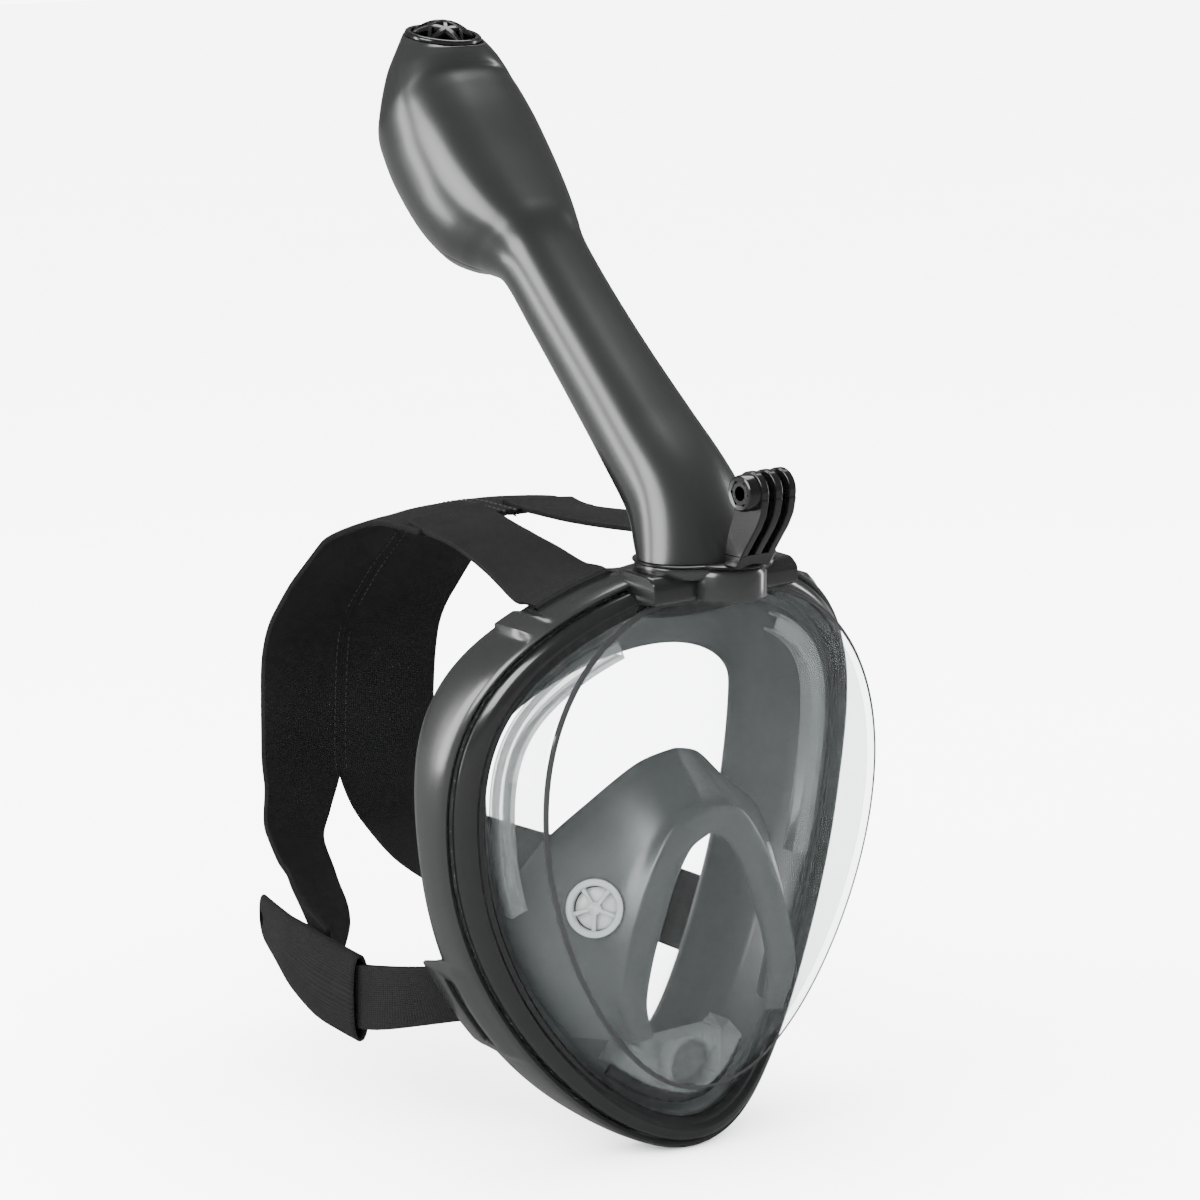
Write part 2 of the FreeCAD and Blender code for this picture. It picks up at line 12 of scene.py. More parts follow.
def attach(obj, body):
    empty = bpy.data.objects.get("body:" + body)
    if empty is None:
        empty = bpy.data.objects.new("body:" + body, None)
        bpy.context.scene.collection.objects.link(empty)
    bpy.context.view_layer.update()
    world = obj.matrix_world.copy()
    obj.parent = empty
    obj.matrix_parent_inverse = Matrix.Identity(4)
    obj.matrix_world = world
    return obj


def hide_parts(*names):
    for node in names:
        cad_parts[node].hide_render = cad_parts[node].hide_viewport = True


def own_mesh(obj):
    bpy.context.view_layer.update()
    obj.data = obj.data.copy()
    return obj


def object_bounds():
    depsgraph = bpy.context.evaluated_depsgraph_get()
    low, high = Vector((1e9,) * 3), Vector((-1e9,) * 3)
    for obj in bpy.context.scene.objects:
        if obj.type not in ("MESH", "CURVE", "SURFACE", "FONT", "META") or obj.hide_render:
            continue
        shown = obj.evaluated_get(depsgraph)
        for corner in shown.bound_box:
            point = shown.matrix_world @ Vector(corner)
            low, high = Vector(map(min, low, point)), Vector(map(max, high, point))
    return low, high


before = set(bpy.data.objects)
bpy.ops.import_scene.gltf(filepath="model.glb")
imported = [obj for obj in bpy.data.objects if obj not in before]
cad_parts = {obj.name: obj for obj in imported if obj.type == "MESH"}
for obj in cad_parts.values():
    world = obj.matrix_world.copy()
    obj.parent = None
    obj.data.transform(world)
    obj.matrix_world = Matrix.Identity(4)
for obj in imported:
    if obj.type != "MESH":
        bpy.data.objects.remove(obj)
cad_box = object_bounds()

MM = 0.001
PI = math.pi
LEAN = math.radians(47)  # the snorkel leans back this far from upright
AXIS = Vector((0, math.sin(LEAN), math.cos(LEAN)))
FWD = Vector((0, -math.cos(LEAN), math.sin(LEAN)))
TUBE_AT = Vector((0, -69, 108))
CAP_AT = Vector((0, 90.5, 282.3))
CAP_TILT = math.radians(9.5)
CAP_DIR = Vector((0, -math.sin(CAP_TILT), math.cos(CAP_TILT)))
RING_N = 120  # stations down one side of the mask
QUARTERS = (0, 0.25, 0.5, 0.75, 1)
HALVES = (-1, -0.5, 0, 0.5, 1)


# ---- shape helpers
def front_y(z):
    """How far forward the frame's front edge is at each height."""
    quartic = 6.7e-8 if z > 0 else 4.5e-8
    return -34.0 - 0.03 * z - 0.00203 * z * z - quartic * z ** 4


def egg(t):
    """The frame's outline from the front: t runs from 0 at the top to pi under the chin."""
    wide = 1 + 0.185 * math.cos(t)
    if t < PI / 2:
        wide *= 1 + 0.055 * math.sin(2 * t) ** 2
    return 91.0 * math.sin(t) * wide, -3.3 + 110.4 * math.cos(t)


def egg_normal(t):
    x1, z1 = egg(t + 1e-4)
    x0, z0 = egg(t - 1e-4)
    dx, dz = x1 - x0, z1 - z0
    n = math.hypot(dx, dz)
    return dz / n, -dx / n


def ring_point(t, d, h):
    """A point d inside the egg outline and h behind the front edge. Negative d is outside it."""
    side = 1
    if t < 0:
        t, side = -t, -1
    if t > PI:
        t, side = 2 * PI - t, -side
    x, z = egg(t)
    nx, nz = egg_normal(t)
    slope = 0.05 + 0.75 * math.sin(t) ** 2
    return Vector((side * (x + d * nx), front_y(z) + h - slope * min(d, 12), z + d * nz))


def ease(x, lo, hi):
    """0 below lo, 1 above hi, and smooth between."""
    u = min(max((x - lo) / (hi - lo), 0), 1)
    return u * u * (3 - 2 * u)


def hump(x, lo, hi, edge):
    """1 from lo to hi, falling smoothly to 0 over the edge on either side."""
    return ease(x, lo - edge, lo) * (1 - ease(x, hi, hi + edge))


def rounded(points, radius, steps=4):
    """A closed outline with its corners rounded off."""
    out = []
    n = len(points)
    for i, p in enumerate(points):
        p = Vector(p)
        a, b = Vector(points[i - 1]) - p, Vector(points[(i + 1) % n]) - p
        r = min(radius, a.length * 0.45, b.length * 0.45)
        start, end = p + a.normalized() * r, p + b.normalized() * r
        for k in range(steps + 1):
            u = k / steps
            out.append(start * (1 - u) ** 2 + p * 2 * u * (1 - u) + end * u * u)
    return out


def curve_through(rows, steps):
    """Rows of numbers, joined smoothly."""
    out = []
    for i in range(len(rows) - 1):
        a, b = rows[max(i - 1, 0)], rows[i]
        c, d = rows[i + 1], rows[min(i + 2, len(rows) - 1)]
        for k in range(steps):
            u = k / steps
            row = []
            for p0, p1, p2, p3 in zip(a, b, c, d):
                m1, m2 = (p2 - p0) * 0.45, (p3 - p1) * 0.45
                cube = 2 * u ** 3 - 3 * u * u
                row.append((cube + 1) * p1 + (u ** 3 - 2 * u * u + u) * m1
                           - cube * p2 + (u ** 3 - u * u) * m2)
            out.append(row)
    out.append(list(rows[-1]))
    return out


def add_object(name, data):
    thing = bpy.data.objects.new(name, data)
    bpy.context.scene.collection.objects.link(thing)
    return thing


def claim(piece, body, nodes):
    """Say which body a piece rides on and the CAD nodes it replaces."""
    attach(piece, body)
    if nodes:
        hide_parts(*nodes)


def bake_mesh(name, bm):
    """The bmesh as a mesh; the bmesh is freed."""
    mesh = bpy.data.meshes.new(name)
    bm.to_mesh(mesh)
    bm.free()
    return mesh


def finish_piece(name, bm, material, body, nodes=(), sharp=35, solid=True):
    """Turn a bmesh into a smooth-shaded piece that rides on a body and replaces CAD nodes."""
    if solid:
        bmesh.ops.recalc_face_normals(bm, faces=bm.faces)
    mesh = bake_mesh(name, bm)
    for polygon in mesh.polygons:
        polygon.use_smooth = True
    mesh.set_sharp_from_angle(angle=math.radians(sharp))
    piece = add_object(name, mesh)
    mesh.materials.append(material)
    claim(piece, body, nodes)
    return piece


def add_grid(bm, rows, wrap_rows=False, wrap_cols=False, skip=None, uv=None):
    """Faces between rows of points. skip(i, j) leaves a face out."""
    verts = [[bm.verts.new(Vector(p) * MM) for p in row] for row in rows]
    layer = bm.loops.layers.uv.verify() if uv else None
    nr, nc = len(rows), len(rows[0])
    for i in range(nr if wrap_rows else nr - 1):
        for j in range(nc if wrap_cols else nc - 1):
            if skip and skip(i, j):
                continue
            i1, j1 = (i + 1) % nr, (j + 1) % nc
            face = bm.faces.new((verts[i][j], verts[i1][j], verts[i1][j1], verts[i][j1]))
            if uv:
                corners = ((i, j), (i + 1, j), (i + 1, j + 1), (i, j + 1))
                for loop, (a, b) in zip(face.loops, corners):
                    loop[layer].uv = uv(a, b)
    return verts


def add_loft(bm, sections, closed=False):
    """Closed outlines joined in a row, with ends, or joined round into a ring."""
    verts = add_grid(bm, sections, wrap_rows=closed, wrap_cols=True)
    if not closed:
        bm.faces.new(verts[0])
        bm.faces.new(list(reversed(verts[-1])))
    return verts


def add_prism(bm, outline, thick, place):
    """outline: (u, v) points; place(u, v, w) gives the point, w over +-thick/2."""
    add_loft(bm, [[place(u, v, w) for u, v in outline] for w in (-thick / 2, thick / 2)])


def add_turned(bm, profile, at, direction, steps=48, arc=2 * PI, caps=True):
    """Profile of (radius, height) turned about an axis."""
    up = Vector(direction).normalized()
    side = up.cross(Vector((1, 0, 0)))
    side = side.normalized() if side.length > 0.1 else Vector((0, 1, 0))
    other = up.cross(side)
    rows = []
    for k in range(steps):
        a = arc * k / steps
        ring = side * math.cos(a) + other * math.sin(a)
        rows.append([Vector(at) + ring * r + up * h for r, h in profile])
    verts = add_grid(bm, rows, wrap_rows=True)
    if caps:
        for j in (0, len(profile) - 1):
            if profile[j][0] > 0.05:
                bm.faces.new([row[j] for row in verts])


def modifier(piece, kind, **values):
    mod = piece.modifiers.new(kind.lower(), kind)
    for key, value in values.items():
        setattr(mod, key, value)
    return mod


def bevel(piece, width, segments=3, angle=35):
    modifier(piece, "BEVEL", width=width * MM, segments=segments,
             limit_method="ANGLE", angle_limit=math.radians(angle))


def drill(piece, at, direction, radius, length):
    """Cut a round hole, applied to the mesh."""
    bm = bmesh.new()
    add_turned(bm, [(radius, -length / 2), (radius, length / 2)], at, direction, 48)
    bmesh.ops.recalc_face_normals(bm, faces=bm.faces)
    cutter = add_object("cutter", bake_mesh("cutter", bm))
    mod = modifier(piece, "BOOLEAN", operation="DIFFERENCE", object=cutter, solver="EXACT")
    bpy.context.view_layer.update()
    graph = bpy.context.evaluated_depsgraph_get()
    result = bpy.data.meshes.new_from_object(piece.evaluated_get(graph))
    piece.modifiers.remove(mod)
    piece.data = result
    bpy.data.objects.remove(cutter)


def cloth_shell(bm, ctrl, steps, thick, cols=6, wobble=0.0):
    """A strip of cloth from rows of points across it, with rolled edges and its flat layout in UV."""
    rows = []
    for flat in curve_through([[c for p in row for c in p] for row in ctrl], steps):
        across = [flat[i:i + 3] for i in range(0, len(flat), 3)]
        dense = [Vector(p) for p in curve_through(across, cols)]
        first, last = dense[0], dense[-1]
        rows.append([first, first.lerp(dense[1], 0.1), first.lerp(dense[1], 0.4)] + dense[1:-1]
                    + [last.lerp(dense[-2], 0.4), last.lerp(dense[-2], 0.1), last])
    n, m = len(rows), len(rows[0])
    taper = [0.2, 0.75, 0.97] + [1.0] * (m - 6) + [0.97, 0.75, 0.2]
    mid = m // 2
    along = [0.0]
    for i in range(1, n):
        along.append(along[-1] + (rows[i][mid] - rows[i - 1][mid]).length * MM)
    across = [0.0]
    for j in range(1, m):
        across.append(across[-1] + (rows[n // 2][j] - rows[n // 2][j - 1]).length * MM)
    outlines = []
    for i, row in enumerate(rows):
        upper, lower = [], []
        for j, p in enumerate(row):
            du = row[min(j + 1, m - 1)] - row[max(j - 1, 0)]
            dv = rows[min(i + 1, n - 1)][j] - rows[max(i - 1, 0)][j]
            normal = du.cross(dv).normalized()
            q = p + normal * (noise.noise(p * 0.06) * wobble)
            half = thick / 2 * taper[j]
            upper.append(q + normal * half)
            lower.append(q - normal * half)
        outlines.append(upper + lower[::-1])

    def uv(i, j):
        j = j % (2 * m)
        return across[j if j < m else 2 * m - 1 - j], along[i]
    verts = add_grid(bm, outlines, wrap_cols=True, uv=uv)
    bm.faces.new(verts[0])
    bm.faces.new(list(reversed(verts[-1])))


def mirrored_x(piece, name, nodes, body="mask"):
    bm = bmesh.new()
    bm.from_mesh(piece.data)
    for v in bm.verts:
        v.co.x = -v.co.x
    bmesh.ops.reverse_faces(bm, faces=bm.faces)
    mesh = piece.data.copy()
    bm.to_mesh(mesh)
    bm.free()
    copy = add_object(name, mesh)
    claim(copy, body, nodes)
    return copy


# ---- materials
def new_material(name, color, rough, **sockets):
    """A Principled material; other sockets are named with _ for a space."""
    mat = bpy.data.materials.new(name)
    mat.use_nodes = True
    shader = mat.node_tree.nodes["Principled BSDF"]
    shader.inputs["Base Color"].default_value = (*color, 1)
    shader.inputs["Roughness"].default_value = rough
    for key, value in sockets.items():
        shader.inputs[key.replace("_", " ")].default_value = value
    return mat


def node(mat, kind, **values):
    """A new node; each value sets an input if there is one of that name, or else a property."""
    n = mat.node_tree.nodes.new(kind)
    for key, value in values.items():
        if key in n.inputs:
            n.inputs[key].default_value = value
        else:
            setattr(n, key, value)
    return n


def link(mat, a, out, b, inp):
    mat.node_tree.links.new(a.outputs[out], b.inputs[inp])


def map_range(mat, source, out, low, high, start=0.0, stop=1.0):
    """The source's values from start to stop, mapped to low to high."""
    n = node(mat, "ShaderNodeMapRange")
    for key, value in (("From Min", start), ("From Max", stop), ("To Min", low), ("To Max", high)):
        n.inputs[key].default_value = value
    link(mat, source, out, n, "Value")
    return n


def mix_shaders(owner, factor, out, first, second, output):
    """Mix two shaders by a factor and send the result to the output node."""
    mix = node(owner, "ShaderNodeMixShader")
    link(owner, factor, out, mix, 0)
    link(owner, first, 0, mix, 1)
    link(owner, second, 0, mix, 2)
    link(owner, mix, 0, owner.node_tree.nodes[output], "Surface")


def ramp(mat, source, out, stops):
    r = node(mat, "ShaderNodeValToRGB")
    link(mat, source, out, r, "Fac")
    while len(r.color_ramp.elements) < len(stops):
        r.color_ramp.elements.new(0.5)
    for element, (pos, color) in zip(r.color_ramp.elements, stops):
        element.position = pos
        element.color = (*color, 1) if len(color) == 3 else color
    return r


def vary(mat, color, amount, scale, rough, rough_amount, bump=0.0, bump_scale=900, detail=4):
    """Small changes in colour and gloss, and a fine surface grain."""
    shader = mat.node_tree.nodes["Principled BSDF"]
    coord = node(mat, "ShaderNodeTexCoord")
    cloud = node(mat, "ShaderNodeTexNoise", Scale=scale, Detail=detail, Roughness=0.6)
    link(mat, coord, "Object", cloud, "Vector")
    lo = [c * (1 - amount) for c in color]
    hi = [min(c * (1 + amount), 1) for c in color]
    tint = ramp(mat, cloud, "Fac", [(0.3, lo), (0.7, hi)])
    link(mat, tint, "Color", shader, "Base Color")
    smear = node(mat, "ShaderNodeTexNoise", Scale=scale * 2.7, Detail=3.0)
    link(mat, coord, "Object", smear, "Vector")
    gloss = map_range(mat, smear, "Fac", rough - rough_amount, rough + rough_amount)
    link(mat, gloss, "Result", shader, "Roughness")
    if bump:
        grain = node(mat, "ShaderNodeTexNoise", Scale=bump_scale, Detail=2.0)
        link(mat, coord, "Object", grain, "Vector")
        b = node(mat, "ShaderNodeBump", Strength=bump, Distance=0.0004)
        link(mat, grain, "Fac", b, "Height")
        link(mat, b, "Normal", shader, "Normal")
    return mat


def varied(name, color, rough, tint, scale, gloss, spread, bump=0.0, bump_scale=900, **sockets):
    """A new material whose colour varies by the share tint, and its roughness by spread round gloss."""
    mat = new_material(name, color, rough, **sockets)
    return vary(mat, color, tint, scale, gloss, spread, bump, bump_scale)


def clear_material(name, tint, low, high, rough=0.03):
    """Thin clear plastic: see-through, brighter and more mirror-like at grazing angles."""
    mat = new_material(name, tint, rough, IOR=1.49)
    shader = mat.node_tree.nodes["Principled BSDF"]
    coord = node(mat, "ShaderNodeTexCoord")
    smudge = node(mat, "ShaderNodeTexNoise", Scale=22.0, Detail=5.0)
    link(mat, coord, "Object", smudge, "Vector")
    haze = map_range(mat, smudge, "Fac", rough, rough + 0.1, 0.45, 0.8)
    link(mat, haze, "Result", shader, "Roughness")
    see = node(mat, "ShaderNodeBsdfTransparent", Color=(0.965, 0.975, 0.975, 1))
    facing = node(mat, "ShaderNodeLayerWeight", Blend=0.35)
    amount = map_range(mat, facing, "Fresnel", low, high)
    mix_shaders(mat, amount, "Result", see, shader, "Material Output")
    return mat


def fabric_material(name, dark, light, across, along, rib, weave_bump=0.5):
    """Ribbed knit laid out in the piece's own flat coordinates, in metres."""
    mat = new_material(name, dark, 0.85, Specular_IOR_Level=0.12)
    shader = mat.node_tree.nodes["Principled BSDF"]
    uv = node(mat, "ShaderNodeTexCoord")
    ribs = node(mat, "ShaderNodeTexWave", bands_direction="X", Scale=across,
                Distortion=0.6, Detail=2.0)
    rows = node(mat, "ShaderNodeTexWave", bands_direction="Y", Scale=along,
                Distortion=1.2, Detail=2.0)
    fuzz = node(mat, "ShaderNodeTexNoise", Scale=1400.0, Detail=3.0)
    patch = node(mat, "ShaderNodeTexNoise", Scale=18.0, Detail=4.0)
    for n in (ribs, rows):
        link(mat, uv, "UV", n, "Vector")
    for n in (fuzz, patch):
        link(mat, uv, "Object", n, "Vector")
    times = node(mat, "ShaderNodeMath", operation="MULTIPLY")
    link(mat, ribs, "Fac", times, 0)
    link(mat, rows, "Fac", times, 1)
    add = node(mat, "ShaderNodeMath", operation="ADD")
    link(mat, times, "Value", add, 0)
    link(mat, fuzz, "Fac", add, 1)
    tint = ramp(mat, add, "Value", [(0.35, dark), (1.1, light)])
    worn = ramp(mat, patch, "Fac", [(0.35, (0.78,) * 3), (0.7, (1.12,) * 3)])
    mix = node(mat, "ShaderNodeMix", data_type="RGBA", blend_type="MULTIPLY")
    mix.inputs[0].default_value = 1.0
    link(mat, tint, "Color", mix, 6)
    link(mat, worn, "Color", mix, 7)
    link(mat, mix, 2, shader, "Base Color")
    b = node(mat, "ShaderNodeBump", Strength=weave_bump, Distance=rib)
    link(mat, add, "Value", b, "Height")
    link(mat, b, "Normal", shader, "Normal")
    return mat


frame_mat = varied("frame_gloss", (0.0055, 0.0058, 0.0058), 0.26,
                   tint=0.12, scale=14, gloss=0.25, spread=0.04,
                   Specular_IOR_Level=0.38, Coat_Weight=0.12, Coat_Roughness=0.08)
bezel_mat = varied("bezel_gloss", (0.0028, 0.003, 0.003), 0.2,
                   tint=0.15, scale=16, gloss=0.2, spread=0.05, bump=0.03,
                   Specular_IOR_Level=0.35, Coat_Weight=0.15, Coat_Roughness=0.05)
shell_mat = varied("shell_gloss", (0.0042, 0.0045, 0.0045), 0.3,
                   tint=0.1, scale=12, gloss=0.31, spread=0.05,
                   Specular_IOR_Level=0.42, Coat_Weight=0.12, Coat_Roughness=0.15)
black_mat = varied("black_gloss", (0.002, 0.002, 0.002), 0.18,
                   tint=0.3, scale=20, gloss=0.2, spread=0.05,
                   Specular_IOR_Level=0.3, Coat_Weight=0.1, Coat_Roughness=0.06)
matte_mat = varied("black_matte", (0.006, 0.006, 0.006), 0.5,
                   tint=0.25, scale=30, gloss=0.5, spread=0.1, bump=0.2)
skirt_mat = varied("skirt_silicone", (0.024, 0.026, 0.026), 0.45,
                   tint=0.12, scale=10, gloss=0.45, spread=0.07, bump=0.15, Coat_Weight=0.1)
cup_mat = varied("cup_silicone", (0.02, 0.0218, 0.0218), 0.36,
                 tint=0.08, scale=9, gloss=0.36, spread=0.06, bump=0.1,
                 Coat_Weight=0.2, Coat_Roughness=0.2)
valve_mat = varied("valve_grey", (0.16, 0.168, 0.168), 0.4,
                   tint=0.1, scale=20, gloss=0.4, spread=0.06, bump=0.1)
flap_mat = varied("flap_silicone", (0.26, 0.265, 0.265), 0.35,
                  tint=0.06, scale=30, gloss=0.35, spread=0.05, bump=0.1)
steel_mat = varied("nut_steel", (0.02, 0.02, 0.0205), 0.3,
                   tint=0.2, scale=60, gloss=0.3, spread=0.1, bump=0.2, Metallic=1.0)
float_mat = varied("float_white", (0.3, 0.3, 0.29), 0.5,
                   tint=0.08, scale=30, gloss=0.5, spread=0.08, bump=0.2)
lens_mat = clear_material("lens_clear", (0.03, 0.032, 0.032), 0.03, 0.28)
# Opaque near-black for the flat window's rounded edge: painted shade in place of the dark line that
# refraction draws at the edge of clear plastic.
window_edge_shade_mat = varied("lens_edge_painted_shade", (0.008, 0.0085, 0.0085), 0.15,
                  tint=0.2, scale=40, gloss=0.15, spread=0.05)
flap_clear = clear_material("flap_clear", (0.05, 0.052, 0.052), 0.25, 0.7, 0.2)
smoke_mat = clear_material("smoke_clear", (0.11, 0.116, 0.116), 0.35, 0.85, 0.15)
knit_mat = fabric_material("strap_knit", (0.0009, 0.0009, 0.00095), (0.0045, 0.0045, 0.0046),
                           330, 420, 0.0004, 0.6)
web_mat = fabric_material("strap_web", (0.001, 0.001, 0.00105), (0.005, 0.005, 0.0051),
                          420, 300, 0.0004, 0.5)
thread_mat = varied("stitch_thread", (0.0035, 0.0035, 0.0036), 0.7,
                    tint=0.2, scale=300, gloss=0.7, spread=0.1, bump=0.3, bump_scale=2500,
                    Sheen_Weight=0.02)


# ---- frame, bezel, lens, skirt
def side_stations(n, t0):
    """From t0 on the right, under the chin, to t0 on the left."""
    ts = [t0 + (PI - t0) * i / n for i in range(n + 1)]
    return ts + [2 * PI - t for t in reversed(ts[:-1])]


def ring_piece(name, profile, material, nodes, n=RING_N, t0=0.0, t1=None, radius=0.8):
    """A profile of (inset, depth) run round the egg outline, all round or from t0 to t1."""
    if t1 is None:
        ts = side_stations(n, t0)
    else:
        ts = [t0 + (t1 - t0) * i / n for i in range(n + 1)]
    outline = rounded(profile, radius)
    bm = bmesh.new()
    add_loft(bm, [[ring_point(t, p.x, p.y) for p in outline] for t in ts])
    finish_piece(name, bm, material, "mask", nodes, 35)


def band_depth(t):
    """The frame band's width, front to back."""
    t = t if t <= PI else 2 * PI - t
    return 17 + 9 * math.sin(2 * t) ** 2


def make_band():
    """The frame's outer band, wider at its two strap slots a side."""
    n = 2 * RING_N
    ts = [2 * PI * i / (2 * n) for i in range(2 * n)]
    low0, low1, top0, top1 = [math.radians(a) for a in (112.5, 127.5, 15.75, 31.5)]
    fractions = [0, 0.03, 0.09, 0.25, 0.42, 0.55, 0.68, 0.8, 0.91, 0.97, 1.0]
    low_rows = [0, 0.8, 2.5, 7, 11, 14, 21, 25, 30, 32.2, 33]
    top_rows = [0, 0.7, 2, 5, 9, 13.5, 18, 20, 22.5, 23.5, 24.2]
    rows = []
    for t in ts:
        s = t if t <= PI else 2 * PI - t
        ear = hump(s, low0 - 0.03, low1 + 0.03, 0.035)
        slot_top = hump(s, top0 - 0.01, top1 + 0.01, 0.03)
        bump = hump(s, math.radians(33.5), math.radians(37.5), 0.02)
        deep = band_depth(t)
        row = []
        for f, lo, hi in zip(fractions, low_rows, top_rows):
            h = deep * f
            h += (lo - h) * ear
            h += (hi - h) * slot_top
            crown = -0.7 * math.sin(PI * min(h / deep, 1)) if h < deep else 0
            d = crown - 1.2 * ear * ease(h, 4, 11) - 2.6 * bump * hump(h, 6, 21, 2)
            d += 0.8 * (1 - ease(h, 0, 1.2)) + 0.6 * ease(f, 0.93, 1.0)
            row.append(ring_point(t, d, h))
        rows.append(row)

    def hole(i, j):
        s = i if i < n else 2 * n - 1 - i
        low = 150 <= s < 170 and j == 5
        top = 21 <= s < 42 and j == 5
        return low or top
    bm = bmesh.new()
    add_grid(bm, rows, wrap_rows=True, skip=hole)
    band = finish_piece("frame_band", bm, frame_mat, "mask", ["rear_frame"],
                        50, False)
    modifier(band, "SOLIDIFY", thickness=2.4 * MM, offset=-1)
    bevel(band, 0.35, 2, 50)
    ring_piece("frame_flange", [(2.4, 6.65), (2.4, 9), (9.5, 9), (9.5, 6.65)],
               matte_mat, [], t0=0.3)


make_band()
BEAD = [(3.0, 1.6), (3.0, -0.6), (4.2, -2.6), (6.2, -3.5), (8.2, -3.2), (9.2, -1.6),
        (9.6, -1.4), (11.2, -1.0), (12.5, 1.6)]
ring_piece("bezel_bead", BEAD, bezel_mat, ["front_bezel"], t0=0.325, radius=1.1)


def window_point(t, inset, y):
    """A point on the flat window's outline, which is cut level along the top."""
    side = 1
    if t > PI:
        t, side = 2 * PI - t, -1
    s = math.sin(t)
    z = 5.3 + 94 * math.cos(t)
    top = 95.0
    z = top - math.log1p(math.exp((top - z) * 1.4)) / 1.4 if z > 80 else z
    x = (75.5 - inset) * s ** 0.95 * (1 + 0.215 * math.cos(t))
    return Vector((side * x, y, z - inset * math.cos(t)))


def make_lens():
    """The clear moulding: a rim under the bezel, sloped sides and the flat raised window."""
    y0, y1 = -73.6, -71.2
    rows = []
    for i in range(2 * RING_N):
        t = 2 * PI * i / (2 * RING_N)
        a, b = ring_point(t, 12.8, 1.85), window_point(t, 0, y0)
        c, d = window_point(t, 2.2, y1), ring_point(t, 15.2, 4.0)
        top = t < 0.34 or t > 2 * PI - 0.34
        edge = 11.5 if top else 3.2
        row = [ring_point(t, edge, 1.85), a]
        row += [a.lerp(b, u) for u in (0.3, 0.6, 0.86)]
        row += [window_point(t, 0, y0 + 1.1), window_point(t, 0.5, y0 + 0.3), window_point(t, 1.7, y0)]
        row += [window_point(t, 3.2, y1), window_point(t, 2.5, y1 + 0.25)]
        row += [c.lerp(d, u) for u in (0.1, 0.4, 0.7)]
        row += [d, ring_point(t, edge, 4.0)]
        rows.append(row)
    bm = bmesh.new()
    verts = add_loft(bm, rows, closed=True)
    front = {row[7] for row in verts}
    back = {row[8] for row in verts}
    rim = {v for row in verts for v in row[5:8]}
    doomed = [f for f in bm.faces if front & set(f.verts) and back & set(f.verts)]
    bmesh.ops.delete(bm, geom=doomed, context="FACES_ONLY")
    for face in bm.faces:
        # The faces of the window's rounded edge take the second material, an opaque dark band of painted
        # shade.
        face.material_index = int(set(face.verts) <= rim)
    bm.faces.new([row[7] for row in verts])
    bm.faces.new([row[8] for row in reversed(verts)])
    window = finish_piece("window", bm, lens_mat, "mask", ["lens"], 25)
    window.data.materials.append(window_edge_shade_mat)


make_lens()


SKIRT = [(3.3, 4.3), (12.5, 4.3), (14, 14), (15.5, 22), (20, 28.5), (27, 31.6), (36.5, 33.0),
         (37.3, 34.4), (36.0, 35.4), (26.5, 34.2), (18.6, 31.0), (13.8, 24.4), (12, 14.5),
         (10.3, 6.4), (3.3, 6.4)]


def make_skirt():
    """The silicone skirt; near the top its rim is drawn in behind the socket housing."""
    outline = rounded(SKIRT, 1.6, 3)
    rows = []
    for i in range(2 * RING_N):
        t = 2 * PI * i / (2 * RING_N)
        top = t < 0.36 or t > 2 * PI - 0.36
        rows.append([ring_point(t, max(p.x, 12.2) if top else p.x, p.y) for p in outline])
    bm = bmesh.new()
    add_loft(bm, rows, closed=True)
    finish_piece("skirt", bm, skirt_mat, "mask", ["face_skirt"], 60)


make_skirt()
DUCT = [(17.7, 0), (25, 0), (25, 6.3), (23.8, 6.3), (23.8, 1.2), (18.9, 1.2), (18.9, 6.3),
        (17.7, 6.3)]
for side, label in ((1, "right"), (-1, "left")):
    ring_piece("duct_" + label, DUCT, smoke_mat, ["exhale_duct_" + label], n=60,
               t0=side * math.radians(24), t1=side * math.radians(101), radius=0.5)


# ---- nose cup and its valves
# inner edge x, z; outer edge x, z at the window; rim x, y, z at the face
CUP = [
    (0, 6.5, 0, 16.5, 0, -50, 32), (9, 2, 15, 12.5, 13, -46, 28),
    (16, -9, 24, 1, 29, -40, 16), (21, -22, 31, -13, 50, -35, 0),
    (26, -36, 37, -30, 60.5, -31, -19), (29, -52, 41, -50, 57, -37, -45),
    (26, -64.7, 34.5, -66, 43, -47, -67.3),
]
VALVE_AT = Vector((41.5, -56.0, -17.5))
VALVE_DIR = Vector((0.76, -0.59, 0.27)).normalized()


def cup_row(row, side):
    """One outline across the cup's wall: out from the window, round the rim and back inside."""
    ix, iz, ox, oz, rx, ry, rz = row
    e = Vector((ox - ix, 0, oz - iz)).normalized()
    inner, outer = Vector((ix, -71.0, iz)), Vector((ox, -71.0, oz))
    back = Vector((0, 1, 0))
    rear = Vector((rx, ry, rz))
    reach = rear - outer
    pts = [
        inner - e * 0.3 + back * 1.2, inner + e * 0.6, inner.lerp(outer, 0.4) - back * 0.1,
        inner.lerp(outer, 0.8), outer - e * 0.2 + back * 0.2, outer + e * 0.5 + back * 1.4,
        outer + reach * 0.08 - e * 0.6 + back * 2.2, outer + reach * 0.25 - e * 0.9 + back * 1.2,
        outer + reach * 0.55 - e * 0.2, outer + reach * 0.85 + e * 0.6,
        rear + e * 1.6 - back * 0.6, rear + e * 2.2 + back * 0.4,
        rear + e * 1.2 + back * 1.4, rear - e * 0.3 + back * 0.7,
        outer + reach * 0.8 - e * 1.9 + back * 0.8, outer + reach * 0.5 - e * 2.6 + back * 0.8,
        outer + reach * 0.22 - e * 3.4 + back * 2.2, outer + reach * 0.05 - e * 3.4 + back * 2.6,
        inner.lerp(outer, 0.4) + back * 3.0, inner - e * 0.1 + back * 2.6]
    return [Vector((p.x * side, p.y, p.z)) for p in pts]


